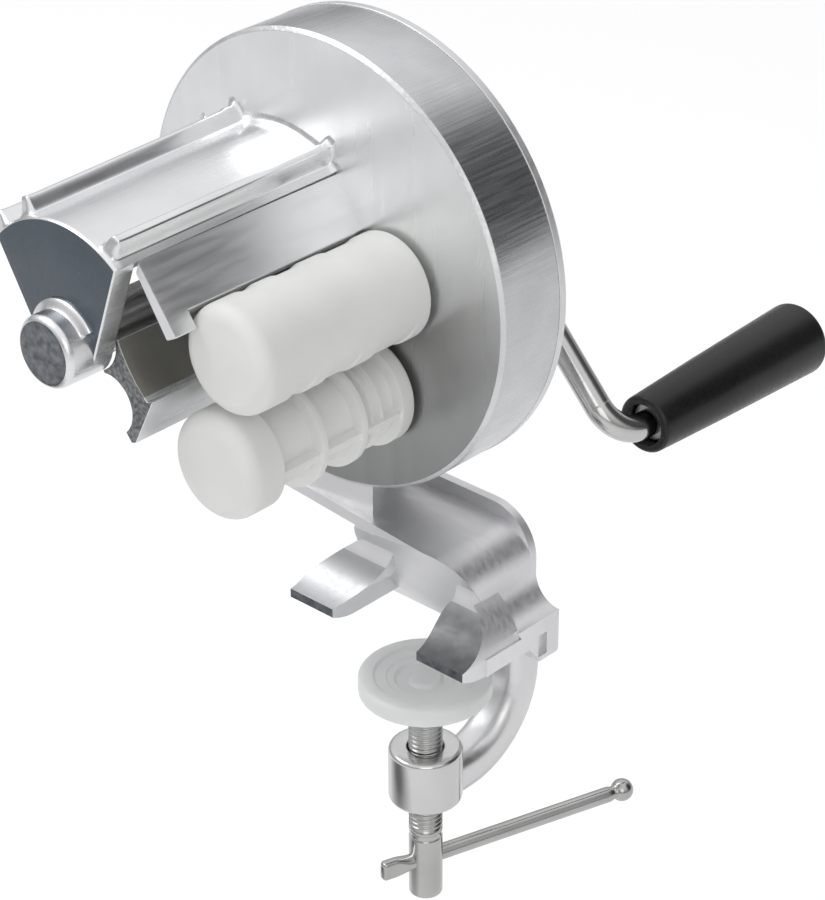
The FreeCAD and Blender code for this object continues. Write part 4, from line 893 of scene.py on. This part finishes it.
def makeGrip(d, c):
    # profile (y, r) turned about the grip's axis: slim at the crank, swelling to the far end,
    # with a recess in both ends
    s, e = d["start"], d["start"] + d["length"]
    recessBack, endFloor = s + d["recessDepth"], e - d["endDepth"]
    (floorEdge, mouthEdge), (outEdge, inEdge) = d["recessEdges"], d["endEdges"]
    profile = roundCorners([
        (recessBack, d["bore"]), (recessBack, d["recess"], floorEdge), (s, d["recess"], mouthEdge),
        (s, d["small"], d["edge"]), (s + d["swellAt"], d["small"] + d["swell"], d["swellRound"]),
        (e, d["large"], d["edge"]), (e, d["endRecess"], outEdge), (endFloor, d["endRecess"], inEdge),
        (endFloor, d["bore"])], closed=True, steps=8)
    grip = turned("gripBody", (gripX, gripZ), profile, steps=128, closed=True)
    dress(grip, look["blackGrip"], "grip", ["grip"])
    capRadius = d["endRecess"] - c["play"]
    cap = roundCorners([(e - c["back"], 0.0), (e - c["back"], capRadius, c["backEdge"]),
                        (e - c["rim"], capRadius, c["rimEdge"]), (e - c["dome"], 0.0)])
    end = turned("gripCap", (gripX, gripZ), cap, steps=96)
    dress(end, look["blackGrip"], "grip", ["grip_end_cap"])


makeGrip(gripShape, capShape)
print("crank and grip made")

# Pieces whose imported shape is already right
plainNodes = {
    "bronze": ["plate_bush", "wall_bush", "crank_bush", "upper_roller_bush", "lower_roller_bush"],
    "turnedSteel": ["idler_pin", "idler_clip", "cutter_shaft", "cutter_blades", "hub_grub_screws",
                    "grip_stop_ring", "grip_push_nut", "upper_roller_shaft", "upper_shaft_clip",
                    "lower_roller_shaft", "lower_shaft_clip"],
    "cutGear": ["cutter_pinion", "idler_gear", "upper_roller_gear", "upper_timing_gear", "lower_timing_gear"],
}
for finish, names in plainNodes.items():
    for name in names:
        cadNodes[name].data.materials.clear()
        cadNodes[name].data.materials.append(look[finish])

# Camera
cameraPlace = dict(azimuth=42.77, elevation=29.38, roll=-0.24, right=3.55, up=-44.45, away=834.3, rise=2.4,
                   lens=120.0, sensor=36.0, near=0.05, far=30.0)


def makeCamera(d):
    # right, up and forward axes from the two angles; the origin lies right, up and away from the lens
    a, e, r = radians(d["azimuth"]), radians(d["elevation"]), radians(d["roll"])
    forward = np.array([-np.sin(a) * np.cos(e), np.cos(a) * np.cos(e), -np.sin(e)])
    side = np.array([np.cos(a), np.sin(a), 0.0])
    top = np.cross(side, forward)
    right = np.cos(r) * side + np.sin(r) * top
    up = -np.sin(r) * side + np.cos(r) * top
    place = -(d["right"] * right + d["up"] * up + d["away"] * forward) + (0, 0, d["rise"])
    data = bpy.data.cameras.new("camera")
    data.lens = d["lens"]
    data.sensor_width = d["sensor"]
    data.clip_start = d["near"]
    data.clip_end = d["far"]
    camera = newObject("camera", data)
    turn = Matrix((right, up, -forward)).transposed().to_4x4()
    camera.matrix_world = Matrix.Translation(Vector(place * mm)) @ turn
    bpy.context.scene.camera = camera


makeCamera(cameraPlace)

# Floor and light; the flag is a painted dark patch on the floor to the front left, a painted reflection which
# only metal shows
floorLook = dict(drop=-0.30, size=12.0, colour=0.93, rough=0.9, gloss=0.1, glow=0.22,
                 flagAt=(-0.30, -0.29, -0.30), flagInner=0.08, flagOuter=0.30, flagShade=0.18)


def makeFloor(d):
    mesh = bpy.data.meshes.new("floor")
    corners = [(x * d["size"], y * d["size"], d["drop"]) for x, y in ((-1, -1), (1, -1), (1, 1), (-1, 1))]
    mesh.from_pydata(corners, [], [(0, 1, 2, 3)])
    floor = newObject("floor", mesh)
    material, tree, shader = newMaterial("paleFloor")
    shader.inputs["Roughness"].default_value = d["rough"]
    shader.inputs["Specular IOR Level"].default_value = d["gloss"]
    shader.inputs["Emission Color"].default_value = (1, 1, 1, 1)
    path = tree.nodes.new("ShaderNodeLightPath")
    glow = tree.nodes.new("ShaderNodeMath")
    glow.operation = "MULTIPLY"
    glow.inputs[1].default_value = d["glow"]
    tree.links.new(path.outputs["Is Camera Ray"], glow.inputs[0])
    tree.links.new(glow.outputs[0], shader.inputs["Emission Strength"])
    # painted shade: flagShade within flagInner metres of flagAt, 1 from flagOuter on
    coordinates = tree.nodes.new("ShaderNodeTexCoord")
    away = tree.nodes.new("ShaderNodeVectorMath")
    away.operation = "DISTANCE"
    away.inputs[1].default_value = d["flagAt"]
    tree.links.new(coordinates.outputs["Object"], away.inputs[0])
    shade = spread(tree, away.outputs["Value"], d["flagShade"], 1.0, d["flagInner"], d["flagOuter"])
    plain = tree.nodes.new("ShaderNodeMix")
    plain.data_type = "FLOAT"
    plain.inputs[2].default_value = 1.0
    tree.links.new(path.outputs["Is Glossy Ray"], plain.inputs[0])
    tree.links.new(shade, plain.inputs[3])
    tree.links.new(timesShare(tree, (d["colour"],) * 3, plain.outputs[0]), shader.inputs["Base Color"])
    mesh.materials.append(material)


makeFloor(floorLook)

# heights: share of the way up from straight down to straight up, and the brightness there
studioLook = dict(heights=((0.0, 0.5), (0.42, 0.4), (0.5, 0.3), (0.62, 0.5), (0.8, 0.85), (1.0, 0.95)),
                  blue=1.01, darkAim=(0.62, 0.64, 0.455), darkFrom=0.80, darkTo=0.96, darkShade=0.12)


def makeWorld(d):
    # soft studio: brightness by height, with a darker patch to the back right, and plain white to the lens
    world = bpy.data.worlds.new("studio")
    bpy.context.scene.world = world
    world.use_nodes = True
    tree = world.node_tree
    tree.nodes.clear()
    out = tree.nodes.new("ShaderNodeOutputWorld")
    mixer = tree.nodes.new("ShaderNodeMixShader")
    white = tree.nodes.new("ShaderNodeBackground")
    white.inputs["Color"].default_value = (1, 1, 1, 1)
    room = tree.nodes.new("ShaderNodeBackground")
    path = tree.nodes.new("ShaderNodeLightPath")
    coordinates = tree.nodes.new("ShaderNodeTexCoord")
    split = tree.nodes.new("ShaderNodeSeparateXYZ")
    tree.links.new(coordinates.outputs["Generated"], split.inputs[0])
    height = tree.nodes.new("ShaderNodeValToRGB")
    elements = height.color_ramp.elements
    while len(elements) < len(d["heights"]):
        elements.new(0.5)
    for element, (position, value) in zip(elements, d["heights"]):
        element.position = position
        element.color = (value, value, value * d["blue"], 1)
    lifted = spread(tree, split.outputs["Z"], 0.0, 1.0, -1.0, 1.0)
    tree.links.new(lifted, height.inputs[0])
    # the dark patch: directions near darkAim, by the cosine of the angle to it
    dot = tree.nodes.new("ShaderNodeVectorMath")
    dot.operation = "DOT_PRODUCT"
    dot.inputs[1].default_value = Vector(d["darkAim"]).normalized()
    tree.links.new(coordinates.outputs["Generated"], dot.inputs[0])
    shade = spread(tree, dot.outputs["Value"], 1.0, d["darkShade"], d["darkFrom"], d["darkTo"])
    tree.links.new(timesShare(tree, height.outputs[0], shade), room.inputs["Color"])
    tree.links.new(path.outputs["Is Camera Ray"], mixer.inputs[0])
    tree.links.new(room.outputs[0], mixer.inputs[1])
    tree.links.new(white.outputs[0], mixer.inputs[2])
    tree.links.new(mixer.outputs[0], out.inputs[0])


makeWorld(studioLook)

lamps = {
    "keyLamp": dict(place=(-0.7, -0.5, 1.2), aim=(0, 0, 0.05), size=0.9, power=5.5),
    "fillLamp": dict(place=(0.9, -0.9, 0.5), aim=(0, 0, 0.05), size=0.8, power=1.6),
}
for name, lamp in lamps.items():
    data = bpy.data.lights.new(name, "AREA")
    data.shape = "SQUARE"
    data.size = lamp["size"]
    data.energy = lamp["power"]
    lampObject = newObject(name, data)
    lampObject.location = lamp["place"]
    toAim = Vector(lamp["aim"]) - Vector(lamp["place"])
    lampObject.rotation_euler = toAim.to_track_quat("-Z", "Y").to_euler()

bpy.context.scene.view_settings.view_transform = "Standard"
print("camera, floor and lamps made")
